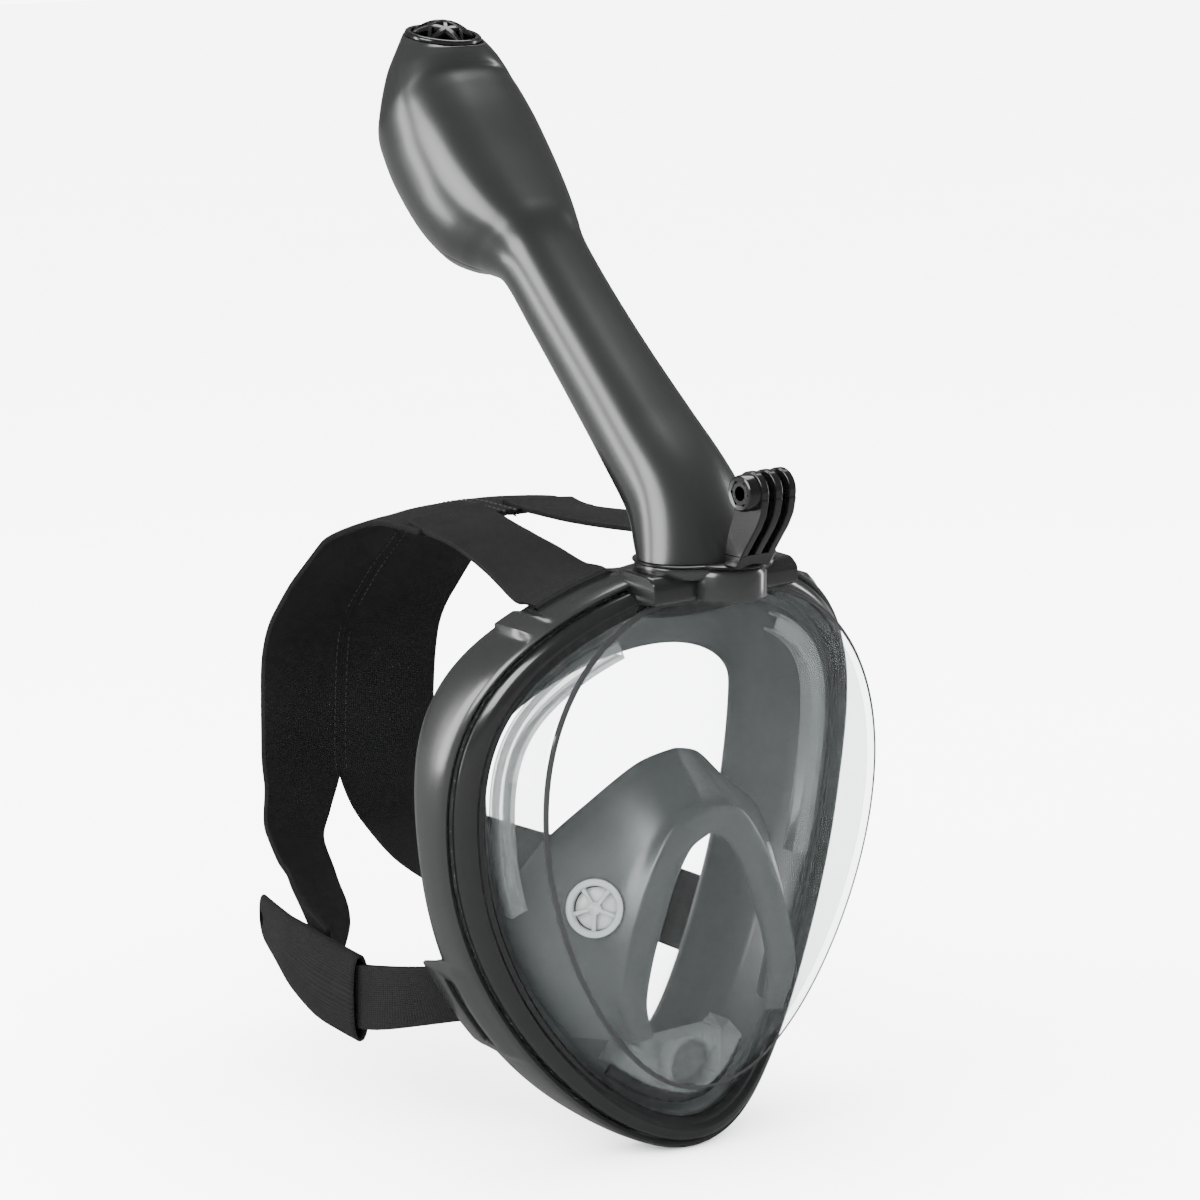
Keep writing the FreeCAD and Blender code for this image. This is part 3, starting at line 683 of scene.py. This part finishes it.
def make_cup():
    right = [cup_row(r, 1) for r in curve_through(CUP, 8)]
    left = [cup_row(r, -1) for r in curve_through(CUP, 8)]
    for p in right[0]:
        p.x = 0
    rows = list(reversed(left))[:-1] + right
    bm = bmesh.new()
    add_loft(bm, rows)
    cup = finish_piece("nose_cup", bm, cup_mat, "mask", ["orinasal_cup"], 70)
    for side in (1, -1):
        at = Vector((VALVE_AT.x * side, VALVE_AT.y, VALVE_AT.z))
        direction = Vector((VALVE_DIR.x * side, VALVE_DIR.y, VALVE_DIR.z))
        drill(cup, at, direction, 9.6, 18)


make_cup()


def make_valves():
    up = VALVE_DIR
    side = up.cross(Vector((0, 0, 1))).normalized()
    other = up.cross(side)
    bm = bmesh.new()
    rim = rounded([(9.9, -2.0), (9.9, 0.2), (10.6, 0.4), (10.6, 1.5), (8.9, 1.9), (8.1, 1.2),
                   (8.1, -2.0)], 0.4, 2)
    add_turned(bm, [(p.x, p.y) for p in rim] + [(rim[0].x, rim[0].y)], VALVE_AT, up, 64, caps=False)
    hub = [(0.01, 1.3), (1.2, 1.2), (2.3, 0.7), (2.5, -0.9), (0.01, -0.9)]
    add_turned(bm, hub, VALVE_AT, up, 24, caps=False)
    for k in range(5):
        a = 2 * PI * k / 5 + 0.3
        along = side * math.cos(a) + other * math.sin(a)
        across = up.cross(along)
        outline = rounded([(-0.75, -0.9), (-0.6, 0.6), (0.6, 0.6), (0.75, -0.9)], 0.3, 2)
        rows = [[VALVE_AT + along * r + across * p.x * w + up * p.y for p in outline]
                for r, w in ((1.5, 1.3), (4.5, 1.0), (8.6, 1.4))]
        add_loft(bm, rows)
    bmesh.ops.remove_doubles(bm, verts=bm.verts, dist=1e-6)
    seat = finish_piece("inhale_ring_right", bm, valve_mat, "mask",
                        ["inhale_seat_right"])
    mirrored_x(seat, "inhale_ring_left", ["inhale_seat_left"])
    bm = bmesh.new()
    disc = [(0.01, -1.5), (3, -1.55), (7.2, -1.75), (7.7, -2.0), (7.2, -2.15), (0.01, -2.2)]
    add_turned(bm, disc, VALVE_AT, up, 48, caps=False)
    flap = finish_piece("inhale_disc_right", bm, flap_mat, "inhale_valve_right",
                        ["inhale_flap_right"])
    mirrored_x(flap, "inhale_disc_left", ["inhale_flap_left"],
               "inhale_valve_left")


make_valves()


# ---- chin drain
def make_chin():
    """The row of louvres under the window, and the purge disc."""
    bm = bmesh.new()
    strip = rounded([(15.8, 5.5), (15.8, 7.0), (20.2, 7.0), (20.2, 5.5)], 0.3, 2)
    tooth = rounded([(16.0, 5.8), (16.3, 4.5), (18.4, 2.9), (20.2, 2.7), (20.2, 5.8)], 0.3, 2)
    ts = [math.radians(146 + 68 * i / 40) for i in range(41)]
    add_loft(bm, [[ring_point(t, p.x, p.y) for p in strip] for t in ts])
    half = math.radians(1.1)
    cx, cy = 18.3, 4.5
    for k in range(13):
        mid = math.radians(149.5 + 61 / 12 * k)
        rows = []
        for a, s in ((-1, 0.8), (-0.7, 1.0), (0.7, 1.0), (1, 0.8)):
            rows.append([ring_point(mid + a * half, cx + (p.x - cx) * s, cy + (p.y - cy) * s)
                         for p in tooth])
        add_loft(bm, rows)
    finish_piece("chin_louvres", bm, black_mat, "mask", ["chin_valve_grille"])
    bm = bmesh.new()
    disc = [(0.01, -58.9), (2, -58.8), (2.4, -58.2), (8.4, -58.0), (9.1, -57.6), (9.1, -57.0),
            (0.01, -56.9)]
    add_turned(bm, disc, (0, 0, -83.2), (0, 1, 0), 48, caps=False)
    finish_piece("chin_disc", bm, flap_clear, "chin_valve",
                 ["chin_valve_membrane"])


make_chin()


# ---- top housing
OVAL_Y, BOSS_Y = -66, -79  # centres of the socket's oval pad and its round front boss


def oval_rows(a, b, y, steps, power=2.3):
    """Squared-off ovals, one for each (height, growth)."""
    rows = []
    for z, grow in steps:
        row = []
        for k in range(64):
            f = 2 * PI * k / 64
            c, s = math.cos(f), math.sin(f)
            row.append(Vector(((a + grow) * math.copysign(abs(c) ** (2 / power), c),
                               y + (b + grow) * math.copysign(abs(s) ** (2 / power), s), z)))
        rows.append(row)
    return rows


def make_housing():
    """The block at the top of the frame, its boss and pad, and the socket's wall."""
    bm = bmesh.new()
    side = rounded([(-62, 94.0), (-77.5, 95.4), (-79.6, 96.5), (-79.2, 102.5), (-75.5, 105.4),
                    (-60, 106)], 1.5, 4)
    cy, cz = -70, 100
    rows = []
    for x, grow in ((-33, 0.93), (-32.6, 0.98), (-31.6, 1.0), (31.6, 1.0), (32.6, 0.98), (33, 0.93)):
        rows.append([Vector((x, cy + (p.x - cy) * grow, cz + (p.y - cz) * grow)) for p in side])
    add_loft(bm, rows)
    finish_piece("housing_block", bm, bezel_mat, "mask", ["socket_housing"])
    bm = bmesh.new()
    rows = []
    for z, r in ((95.5, 13.6), (95.9, 14.0), (104.4, 14.0), (106.2, 13.3), (107.1, 12.2), (107.4, 10.6)):
        row = []
        for k in range(33):
            a = PI * k / 32
            row.append(Vector((r * math.cos(a), BOSS_Y - r * math.sin(a) * (13.8 / 14), z)))
        row += [Vector((-r, -68, z)), Vector((r, -68, z))]
        rows.append(row)
    add_loft(bm, rows)
    finish_piece("housing_boss", bm, frame_mat, "mask")
    bm = bmesh.new()
    add_loft(bm, oval_rows(27, 19, OVAL_Y, (
        (103.0, -1.6), (103.6, -0.8), (105.2, -0.1), (106.6, 0), (107.2, -0.2), (107.4, -0.6))))
    finish_piece("housing_pad", bm, frame_mat, "mask")
    bm = bmesh.new()
    add_loft(bm, oval_rows(22, 9.8, -55, (
        (86.5, -0.6), (87.1, 0), (96.5, 0), (96.5, -2.4), (86.9, -2.4), (86.5, -2.0))), closed=True)
    finish_piece("housing_socket", bm, matte_mat, "mask")


make_housing()


# ---- camera mount
PRONG_Y, PRONG_Z = -99.6, 136.4  # the bolt hole's centre
PRONG_R, PRONG_THICK, PRONG_PITCH, FOOT_HALF = 7.4, 3.0, 6.2, 7.7
NUT_FLATS, BOLT_R = 8.3, 2.6


def make_mount():
    """Three prongs on a foot, the nut's boss at one side, and the plate under them."""
    eye = [(PRONG_Y + PRONG_R * math.cos(a), PRONG_Z + PRONG_R * math.sin(a)) for a in
           [math.radians(-14 + 208 * k / 26) for k in range(27)]]
    upper = eye + [(-107.0, 134), (-105.8, 128.5), (-103.2, 123.6), (-99.2, 118), (-95.7, 113),
                   (-95, 112), (-86.4, 112), (-86.7, 115), (-88.0, 120), (-90.4, 126.5), (-91.9, 131)]
    lower = [(-95.9, 113.2), (-93.6, 109.4), (-93.0, 107.8), (-86.0, 107.8), (-86.4, 113.2)]
    bm = bmesh.new()
    for x in (-PRONG_PITCH, 0, PRONG_PITCH):
        add_prism(bm, upper, PRONG_THICK, lambda u, v, w, x=x: Vector((x + w, u, v)))
    add_prism(bm, lower, 2 * FOOT_HALF, lambda u, v, w: Vector((w, u, v)))
    mount = finish_piece("mount_fork", bm, black_mat, "mask", ["camera_mount"], 30)
    bevel(mount, 0.45, 3, 30)
    bm = bmesh.new()
    r_hex = NUT_FLATS / math.sqrt(3)
    rows = []
    for x, r, six in ((-FOOT_HALF, 6.6, 0), (-11.2, 6.5, 0), (-12.0, 6.2, 0), (-12.3, 5.7, 0),
                      (-12.2, r_hex, 1), (-8.2, r_hex, 1), (-8.2, BOLT_R, 0)):
        row = []
        for k in range(48):
            a = 2 * PI * k / 48
            rr = r * math.cos(PI / 6) / math.cos(a % (PI / 3) - PI / 6) if six else r
            row.append(Vector((x, PRONG_Y + rr * math.cos(a), PRONG_Z + rr * math.sin(a))))
        rows.append(row)
    add_grid(bm, rows, wrap_cols=True)
    finish_piece("mount_boss", bm, black_mat, "mask", (), 30)
    bm = bmesh.new()
    add_loft(bm, oval_rows(27, 19, OVAL_Y, ((107.5, 0.2), (107.9, 0.7), (108.4, 0.7), (108.7, 0.2))))
    rows = []
    for z, r in ((107.5, 14.6), (107.9, 15.0), (108.5, 14.9), (108.8, 14.4)):
        arc = [PI * k / 24 for k in range(25)]
        rows.append([Vector((r * math.cos(a), BOSS_Y - r * math.sin(a), z)) for a in arc])
    add_loft(bm, rows)
    finish_piece("mount_plate", bm, black_mat, "mask")


make_mount()


# ---- snorkel
# distance along the tube, offset forward, half-width, half-depth
SECTIONS = [
    (26, 3.0, 21.5, 18.0), (53, 3.2, 19.5, 16.6), (84, 2.9, 18.0, 15.6),
    (112, 3.0, 17.4, 15.0), (136, 3.6, 17.6, 15.0), (147, 1.5, 20.5, 18.7),
    (154, -1.5, 23.5, 22.0), (163, -4.0, 26.4, 25.0), (178, -4.9, 29.0, 27.0),
    (196, -3.8, 30.0, 27.6), (208, -2.4, 29.6, 26.8),
]
# y, z, tilt in degrees, half-width, half-depth
CROWN = [
    (89.4, 254.5, 45.5, 28.4, 25.6), (91.1, 263.2, 33.0, 25.2, 22.5),
    (92.0, 271.2, 20.5, 21.7, 19.6), (91.7, 276.2, 10.5, 18.9, 17.4),
    (91.1, 279.6, 1.0, 16.8, 16.1), (90.5, 282.3, -9.5, 15.2, 15.0),
]
CROWN_FROM = 300.0  # stations of the crown are numbered from here
SEAM = [(0, -8.0), (136, -8.0), (150, -14.0), (166, -20.0), (200, -19.5), (208, -18.0),
        (400, -18.0)]


def seam_q(s):
    """How far forward the seam between the two halves is."""
    for (s0, q0), (s1, q1) in zip(SEAM, SEAM[1:]):
        if s <= s1:
            return q0 + (q1 - q0) * (s - s0) / (s1 - s0)
    return SEAM[-1][1]


def tube_at(s, q, x=0.0):
    """A point s along the tube and q forward of its axis."""
    return TUBE_AT + AXIS * s + FWD * q + Vector((x, 0, 0))


def snorkel_rows():
    rows = [(-66.0, 108.9, 0.0, 27.0, 19.0, 0.0)]
    for s, q, a, b in SECTIONS:
        p = tube_at(s, q)
        rows.append((p.y, p.z, LEAN, a, b, s))
    for k, (y, z, tilt, a, b) in enumerate(CROWN):
        rows.append((y, z, math.radians(tilt), a, b, CROWN_FROM + k))
    return curve_through(rows, 8)


FRONT_N, BACK_N = 44, 20


def section_points(row):
    """Outline at one station: front arc first, then the back arc between the seams."""
    y, z, tilt, a, b, s = row
    ahead = Vector((0, -math.cos(tilt), math.sin(tilt)))
    at = Vector((0, y, z))
    centre_q = (at - TUBE_AT).dot(FWD)
    back = max(min((seam_q(s) - centre_q) / b, -0.12), -0.93)
    if s > 208:
        back += (-0.57 - back) * ease(s, 208, CROWN_FROM)
    f0 = math.asin(back)
    spans = [f0 + (PI - 2 * f0) * k / FRONT_N for k in range(FRONT_N + 1)]
    rest = [PI - f0 + (PI + 2 * f0) * k / BACK_N for k in range(1, BACK_N)]
    pts = []
    for f in spans + rest:
        c, q = math.cos(f), math.sin(f)
        power = 2.35 if q > 0 else 2.0
        power = 2.0 + (power - 2.0) * ease(s, 5, 40)
        x = a * math.copysign(abs(c) ** (2 / power), c)
        v = b * math.copysign(abs(q) ** (2 / power), q)
        if q > 0:
            v *= 0.985
        pts.append(at + Vector((x, 0, 0)) + ahead * v)
    return pts


def make_snorkel():
    """The front shell, whole at the foot, and the cover that closes its back above that."""
    rows = snorkel_rows()
    outline = [section_points(r) for r in rows]
    split = next(i for i, r in enumerate(rows) if r[5] > 62)
    bm = bmesh.new()
    add_grid(bm, outline, wrap_cols=True, skip=lambda i, j: i >= split and j >= FRONT_N)
    front = finish_piece("snorkel_front", bm, shell_mat, "snorkel",
                         ["snorkel_front_shell"], 50, False)
    modifier(front, "SOLIDIFY", thickness=2.0 * MM, offset=-1)
    bevel(front, 0.4, 3, 50)
    bm = bmesh.new()
    cover_rows = []
    for pts in outline[split:]:
        arc = pts[FRONT_N:] + [pts[0]]
        arc[0] = arc[0].lerp(arc[1], 0.16)
        arc[-1] = arc[-1].lerp(arc[-2], 0.16)
        cover_rows.append(arc)
    shift = AXIS * 0.4
    cover_rows[0] = [p + shift for p in cover_rows[0]]
    add_grid(bm, cover_rows)
    cover = finish_piece("snorkel_back", bm, shell_mat, "snorkel",
                         ["snorkel_rear_cover"], 50, False)
    modifier(cover, "SOLIDIFY", thickness=1.8 * MM, offset=-1)
    bevel(cover, 0.45, 3, 50)


make_snorkel()


THUMB = [(40, -12.6, 3.5), (40.6, -14.6, 5.2), (43, -15.8, 6.2), (49, -16.2, 6.7), (55, -15.2, 6.6),
         (57.4, -14.2, 5.6), (58, -12.4, 4.0)]  # along the tube, forward, half-width
LATCH_S, COIL_R = 49, 2.6


def make_latch():
    """The thumb piece at the back of the tube, and the coil behind it."""
    bm = bmesh.new()
    rows = []
    for s, q, w in THUMB:
        row = []
        for k in range(24):
            a = PI * k / 23
            row.append(tube_at(s, q + 0.9 * (1 - math.sin(a)), w * math.cos(a)))
        row += [tube_at(s, -9.0, -w), tube_at(s, -9.0, w)]
        rows.append(row)
    add_loft(bm, rows)
    finish_piece("latch_thumb", bm, shell_mat, "latch", ["latch_button"], 50)
    coil = bpy.data.curves.new("coil", "CURVE")
    coil.dimensions = "3D"
    coil.bevel_depth = 0.45 * MM
    coil.bevel_resolution = 3
    line = coil.splines.new("NURBS")
    turns, count = 6, 72
    line.points.add(count - 1)
    for k in range(count):
        a = 2 * PI * turns * k / (count - 1)
        p = tube_at(LATCH_S + COIL_R * math.cos(a), -8.5 + 9.5 * k / (count - 1),
                    COIL_R * math.sin(a)) * MM
        line.points[k].co = (*p, 1)
    line.order_u = 4
    line.use_endpoint_u = True
    wire = add_object("coil_path", coil)
    bpy.context.view_layer.update()
    graph = bpy.context.evaluated_depsgraph_get()
    mesh = bpy.data.meshes.new_from_object(wire.evaluated_get(graph))
    bpy.data.objects.remove(wire)
    mesh.materials.clear()
    mesh.materials.append(steel_mat)
    piece = add_object("latch_coil", mesh)
    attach(piece, "snorkel")
    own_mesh(piece)
    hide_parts("latch_spring")


make_latch()


def make_grille():
    """The domed cap: a rim, six spokes, and bars that leave triangular holes."""
    side = Vector((1, 0, 0))
    other = CAP_DIR.cross(side)

    def dome(r, a, lift=0.0):
        h = math.sqrt(max(15.5 ** 2 - r * r, 0)) - 9.0 + lift
        return CAP_AT + side * r * math.cos(a) + other * r * math.sin(a) + CAP_DIR * h
    bm = bmesh.new()
    profile = rounded([(12.4, -0.4), (14.6, -0.4), (14.6, 1.2), (13.8, 1.9), (12.2, 1.6)], 0.4, 2)
    rows = []
    for k in range(72):
        a = 2 * PI * k / 72
        rows.append([CAP_AT + side * p.x * math.cos(a) + other * p.x * math.sin(a)
                     + CAP_DIR * p.y for p in profile])
    add_loft(bm, rows, closed=True)

    def bar(r0, a0, r1, a1, width=0.75):
        p0 = Vector((r0 * math.cos(a0), r0 * math.sin(a0)))
        p1 = Vector((r1 * math.cos(a1), r1 * math.sin(a1)))
        along = (p1 - p0).normalized()
        across = Vector((-along.y, along.x)) * width
        rows = []
        for k in range(9):
            c = p0.lerp(p1, k / 8)
            row = []
            for s, lift in ((-1, -0.5), (-0.85, 0.0), (0.85, 0.0), (1, -0.5), (1, -1.8), (-1, -1.8)):
                q = c + across * s
                row.append(dome(q.length, math.atan2(q.y, q.x), lift))
            rows.append(row)
        add_loft(bm, rows)
    for k in range(6):
        a, b = PI / 3 * k, PI / 3 * (k + 1)
        bar(0, a, 7.0, a)
        bar(6.4, a, 12.8, a + PI / 6)
        bar(6.4, b, 12.8, a + PI / 6)
        bar(6.9, a, 6.9, b, 0.7)
    finish_piece("cap_grille", bm, black_mat, "snorkel", ["top_grille"], 30)


make_grille()


# ---- head strap
# y, z, half-width, and how far the edges wrap in towards the head
PANEL = [(50, 104.5, 42, 3), (80, 104, 41, 3), (109, 95, 42, 4), (121, 87.5, 43, 5),
         (146, 63, 44, 6), (162, 39, 43, 7), (166, -3, 42, 8), (165.5, -18, 42, 9)]
# lower and upper edge of one leg
LEG = [((5, 166.5, -33), (43.5, 155.5, -31)), ((11, 163, -44), (45.5, 150, -35.5)),
       ((16, 147, -56), (49.5, 140, -38.5)), ((28, 120, -67), (56, 122, -41)),
       ((56, 90, -76.5), (67.5, 95, -44.5)), ((74, 66, -78), (74, 66, -48))]
CENTRE_LAP = 0.3  # each half of the panel runs on past the centre line


def panel_station(i):
    """A point on the panel's centre line, the way out from the head, half-width and wrap."""
    y, z, half, wrap = PANEL[i]
    y0, z0 = PANEL[max(i - 1, 0)][:2]
    y1, z1 = PANEL[min(i + 1, len(PANEL) - 1)][:2]
    along = Vector((0, y1 - y0, z1 - z0)).normalized()
    return Vector((0, y, z)), Vector((0, -along.z, along.y)), half, wrap


def panel_rows():
    """Rows across the right half of the panel, then across its leg."""
    rows = []
    for i in range(len(PANEL)):
        at, out, half, wrap = panel_station(i)
        rows.append([at + Vector((half * u - CENTRE_LAP, 0, 0)) + out * (1.3 - wrap * u * u)
                     for u in QUARTERS])
    for low, high in LEG:
        rows.append([Vector(low).lerp(Vector(high), u) for u in QUARTERS])
    return rows


def make_panel():
    bm = bmesh.new()
    right = panel_rows()
    cloth_shell(bm, right, 10, 2.4, 6, 0.5)
    left = [[Vector((-p.x, p.y, p.z)) for p in row][::-1] for row in right]
    cloth_shell(bm, left, 10, 2.4, 6, 0.5)
    panel = finish_piece("strap_panel", bm, knit_mat, "mask", ["headstrap_panel"], 60)
    modifier(panel, "SUBSURF", levels=1, render_levels=1)


def stitch_line(name, points, pitch, length, width, material):
    """A row of small thread stitches along a line of points."""
    bm = bmesh.new()
    line = [Vector(p) for p in curve_through([list(p) for p in points], 24)]
    stitch = [(0.02, -length / 2), (width, -length * 0.35), (width, length * 0.35),
              (0.02, length / 2)]
    gone, target = 0.0, 0.0
    for a, b in zip(line, line[1:]):
        step = (b - a).length
        while target < gone + step and step > 0:
            at = a.lerp(b, (target - gone) / step)
            d = (b - a).normalized()
            up = d.cross(Vector((1, 0, 0)))
            up = up.normalized() if up.length > 0.1 else Vector((0, 0, 1))
            add_turned(bm, stitch, at, d, 6, caps=False)
            target += pitch
        gone += step
    finish_piece(name, bm, material, "mask", (), 60)


def make_seams():
    """Two rows of stitches beside the centre seam, on each face of the panel."""
    stations = [panel_station(i)[:2] for i in range(len(PANEL))]
    for x, hand in ((-2.6, "left"), (2.6, "right")):
        for lift, face in ((2.45, "outer"), (0.1, "inner")):
            stitch_line("seam_%s_%s" % (face, hand),
                        [p + out * lift + Vector((x, 0, 0)) for p, out in stations],
                        3.0, 2.2, 0.32, thread_mat)


make_panel()
make_seams()


def make_upper_strap():
    ta, tb = math.radians(16.4), math.radians(31.0)
    rows = []
    for d, h in ((3.6, 15.8), (0.6, 15.6), (-1.6, 16.6), (-1.9, 22), (-1.9, 29)):
        rows.append([ring_point(ta + (tb - ta) * k / 4, d, h) for k in range(5)])
    a, b = rows[-1][0], rows[-1][-1]
    half = (b - a) * 0.5
    for at, wide in (((38.5, -8, 102.6), half * 0.4 + Vector((10.5, 0, 0))),
                     ((30, 22, 104.2), Vector((17.3, 0, -0.6))),
                     ((23.2, 49.6, 104.9), Vector((17, 0, -1.5))),
                     ((22, 62, 106.9), Vector((17, 0, -1.4)))):
        rows.append([Vector(at) + wide * u for u in HALVES])
    bm = bmesh.new()
    cloth_shell(bm, rows, 8, 1.9, 6, 0.25)
    strap = finish_piece("upper_band_right", bm, web_mat, "mask",
                         ["upper_strap_right"], 60)
    left = mirrored_x(strap, "upper_band_left", ["upper_strap_left"])
    for piece in (strap, left):
        modifier(piece, "SUBSURF", levels=1, render_levels=1)


make_upper_strap()


def make_lower_strap():
    """The ribbed roll at the frame's lower slot, and the doubled band to the sleeve."""
    t0, t1 = math.radians(113.7), math.radians(126.3)
    bm = bmesh.new()
    roll = rounded([(-0.7, 15.6), (-0.5, 19.4), (0.8, 20.3), (3.4, 20.4), (4.2, 18.4), (4.3, 16.4),
                    (3.4, 14.8), (0.6, 14.6)], 1.2, 3)
    rows = []
    for k in range(61):
        t = t0 + (t1 - t0) * k / 60
        grow = 0.12 if k % 2 else -0.12
        rows.append([ring_point(t, p.x - grow, p.y) for p in roll])
    add_loft(bm, rows)
    right = finish_piece("elastic_roll_right", bm, web_mat, "mask", (), 20)
    mirrored_x(right, "elastic_roll_left", [])
    low, high = ring_point(t0, 4.6, 24), ring_point(t1, 4.6, 24)
    low2, high2 = ring_point(t0, 4.7, 33), ring_point(t1, 4.7, 33)
    bm = bmesh.new()
    for shift in (-0.85, 0.85):
        rows = []
        for a, b in ((low, high), (low2, high2)):
            rows.append([a.lerp(b, u) + Vector((shift, 0, 0)) for u in QUARTERS])
        for at, wide in (((80, 18, -62), (0.5, 0, -12)), ((83, 36, -64.6), (0, 0, -12.3)),
                         ((81.6, 57, -64), (0, 0, -12.3))):
            rows.append([Vector(at) + Vector(wide) * u + Vector((shift, 0, 0)) for u in HALVES])
        cloth_shell(bm, rows, 10, 1.5, 5, 0.2)
    right = finish_piece("lower_band_right", bm, web_mat, "mask",
                         ["lower_strap_right"], 60)
    left = mirrored_x(right, "lower_band_left", ["lower_strap_left"])


make_lower_strap()


# x, y, z, half-height, half-thickness
SLEEVE = [(83.5, 32, -65, 16.8, 3.9), (81.8, 58, -64, 16.8, 4.0), (79.5, 74, -62.6, 15.8, 3.6),
          (77, 88, -61, 13.8, 3.1), (71.5, 106, -59.2, 11.2, 2.4), (67, 120, -58, 9.4, 2.0),
          (64.6, 125.6, -57.3, 7.6, 1.9), (63.5, 128, -57, 4.6, 1.4)]


def sleeve_section(row, inset=0.0):
    x, y, z, tall, thick = row
    pts = []
    for k in range(40):
        a = 2 * PI * k / 40
        c, s = math.cos(a), math.sin(a)
        dx = max(thick - inset, 0.2) * math.copysign(abs(c) ** 0.8, c)
        dz = (tall - inset) * math.copysign(abs(s) ** 0.75, s)
        pts.append(Vector((x + dx, y + 0.1 * dx, z + dz)))
    return pts


def make_sleeve():
    """The folded tab round the lower band: an inner wall, a lip and the outside, with its rivet hole."""
    path = curve_through(SLEEVE, 7)
    inner = [list(r) for r in path if r[1] <= 62]
    rows = [sleeve_section(r, 1.4) for r in reversed(inner)]
    lip = list(path[0])
    lip[1] -= 0.5
    rows.append(sleeve_section(lip, 0.8))
    rows += [sleeve_section(r) for r in path]
    bm = bmesh.new()
    lengths = [0.0]
    for a, b in zip(rows, rows[1:]):
        lengths.append(lengths[-1] + (b[10] - a[10]).length * MM)
    verts = add_grid(bm, rows, wrap_cols=True, uv=lambda i, j: (j * 0.0019, lengths[i]))
    bm.faces.new(verts[0])
    bm.faces.new(list(reversed(verts[-1])))
    sleeve = finish_piece("sleeve_right", bm, knit_mat, "mask",
                          ["strap_sleeve_right"], 60)
    other = mirrored_x(sleeve, "sleeve_left", ["strap_sleeve_left"])
    for piece, side in ((sleeve, 1), (other, -1)):
        drill(piece, Vector((66 * side, 121.5, -57.8)), Vector((1, 0, 0)), 3.0, 30)


make_sleeve()


# ---- CAD parts that stay
oring_mat = varied("oring_rubber", (0.004, 0.004, 0.004), 0.55,
                   tint=0.3, scale=60, gloss=0.55, spread=0.08, bump=0.2)
for name, material in {
        "mount_hex_nut": steel_mat, "snorkel_plug": black_mat, "plug_oring": oring_mat,
        "tube_divider": matte_mat, "float_body": float_mat, "float_seal": flap_mat,
        "float_cage": matte_mat, "valve_seat_ring": matte_mat, "chin_valve_body": smoke_mat,
        }.items():
    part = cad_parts[name]
    for index in range(len(part.material_slots)):
        part.material_slots[index].material = material


# ---- floor, lights, camera
def floor_material():
    """Matt white paper; it is dimmer in reflections, as a studio's black flags make it."""
    paper = varied("floor_paper", (0.9, 0.9, 0.9), 0.9,
                   tint=0.01, scale=3, gloss=0.9, spread=0.02, Specular_IOR_Level=0.1)
    flagged = node(paper, "ShaderNodeBsdfDiffuse", Color=(0.08, 0.08, 0.08, 1))
    path = node(paper, "ShaderNodeLightPath")
    mix_shaders(paper, path, "Is Glossy Ray", paper.node_tree.nodes["Principled BSDF"], flagged,
                "Material Output")
    return paper


def make_stage():
    floor_z = cad_box[0][2] - 0.0004
    edges = (-6000, 0, 6000)
    bm = bmesh.new()
    add_grid(bm, [[Vector((x, y, floor_z / MM)) for x in edges] for y in edges])
    floor = add_object("floor", bake_mesh("floor", bm))
    floor.data.materials.append(floor_material())


make_stage()


def area_light(name, at, target, size, power, size_y=None):
    light = bpy.data.lights.new(name, "AREA")
    light.energy = power
    light.size = size
    if size_y:
        light.shape = "RECTANGLE"
        light.size_y = size_y
    lamp = add_object(name, light)
    lamp.location = at
    lamp.rotation_euler = (Vector(target) - Vector(at)).to_track_quat("-Z", "Y").to_euler()


VIEW_TARGET = Vector((31.3, 34.4, 70.7)) * MM
VIEW_BACK = Vector((-0.602, -0.771, 0.208)).normalized()
VIEW_RIGHT = Vector((0, 0, 1)).cross(VIEW_BACK).normalized()
VIEW_UP = VIEW_BACK.cross(VIEW_RIGHT)


def from_view(right, up, back):
    """A place given from the main camera's view, in metres."""
    return VIEW_TARGET + VIEW_RIGHT * right + VIEW_UP * up + VIEW_BACK * back


area_light("key_soft", from_view(-1.0, 0.55, 0.9), VIEW_TARGET, 0.8, 40)
area_light("strip_left", from_view(-1.2, 0.1, 0.1), VIEW_TARGET, 0.25, 20, 1.2)
area_light("strip_right", from_view(1.2, 0.3, -0.5), VIEW_TARGET, 0.2, 12, 1.2)
area_light("top_soft", from_view(0.1, 1.5, -0.3), VIEW_TARGET, 0.9, 26)

world = bpy.data.worlds.new("studio")
world.use_nodes = True
bpy.context.scene.world = world
dim = world.node_tree.nodes["Background"]
dim.inputs["Color"].default_value = (1, 1, 1, 1)
dim.inputs["Strength"].default_value = 0.22
bright = node(world, "ShaderNodeBackground", Color=(1, 1, 1, 1), Strength=8.0)
rays = node(world, "ShaderNodeLightPath")
mix_shaders(world, rays, "Is Glossy Ray", bright, dim, "World Output")

camera_data = bpy.data.cameras.new("camera")
camera_data.lens = 120
camera_data.sensor_width = 36
camera = add_object("camera", camera_data)
camera.location = VIEW_TARGET + VIEW_BACK * 1.527
camera.rotation_euler = (-VIEW_BACK).to_track_quat("-Z", "Y").to_euler()
bpy.context.scene.camera = camera
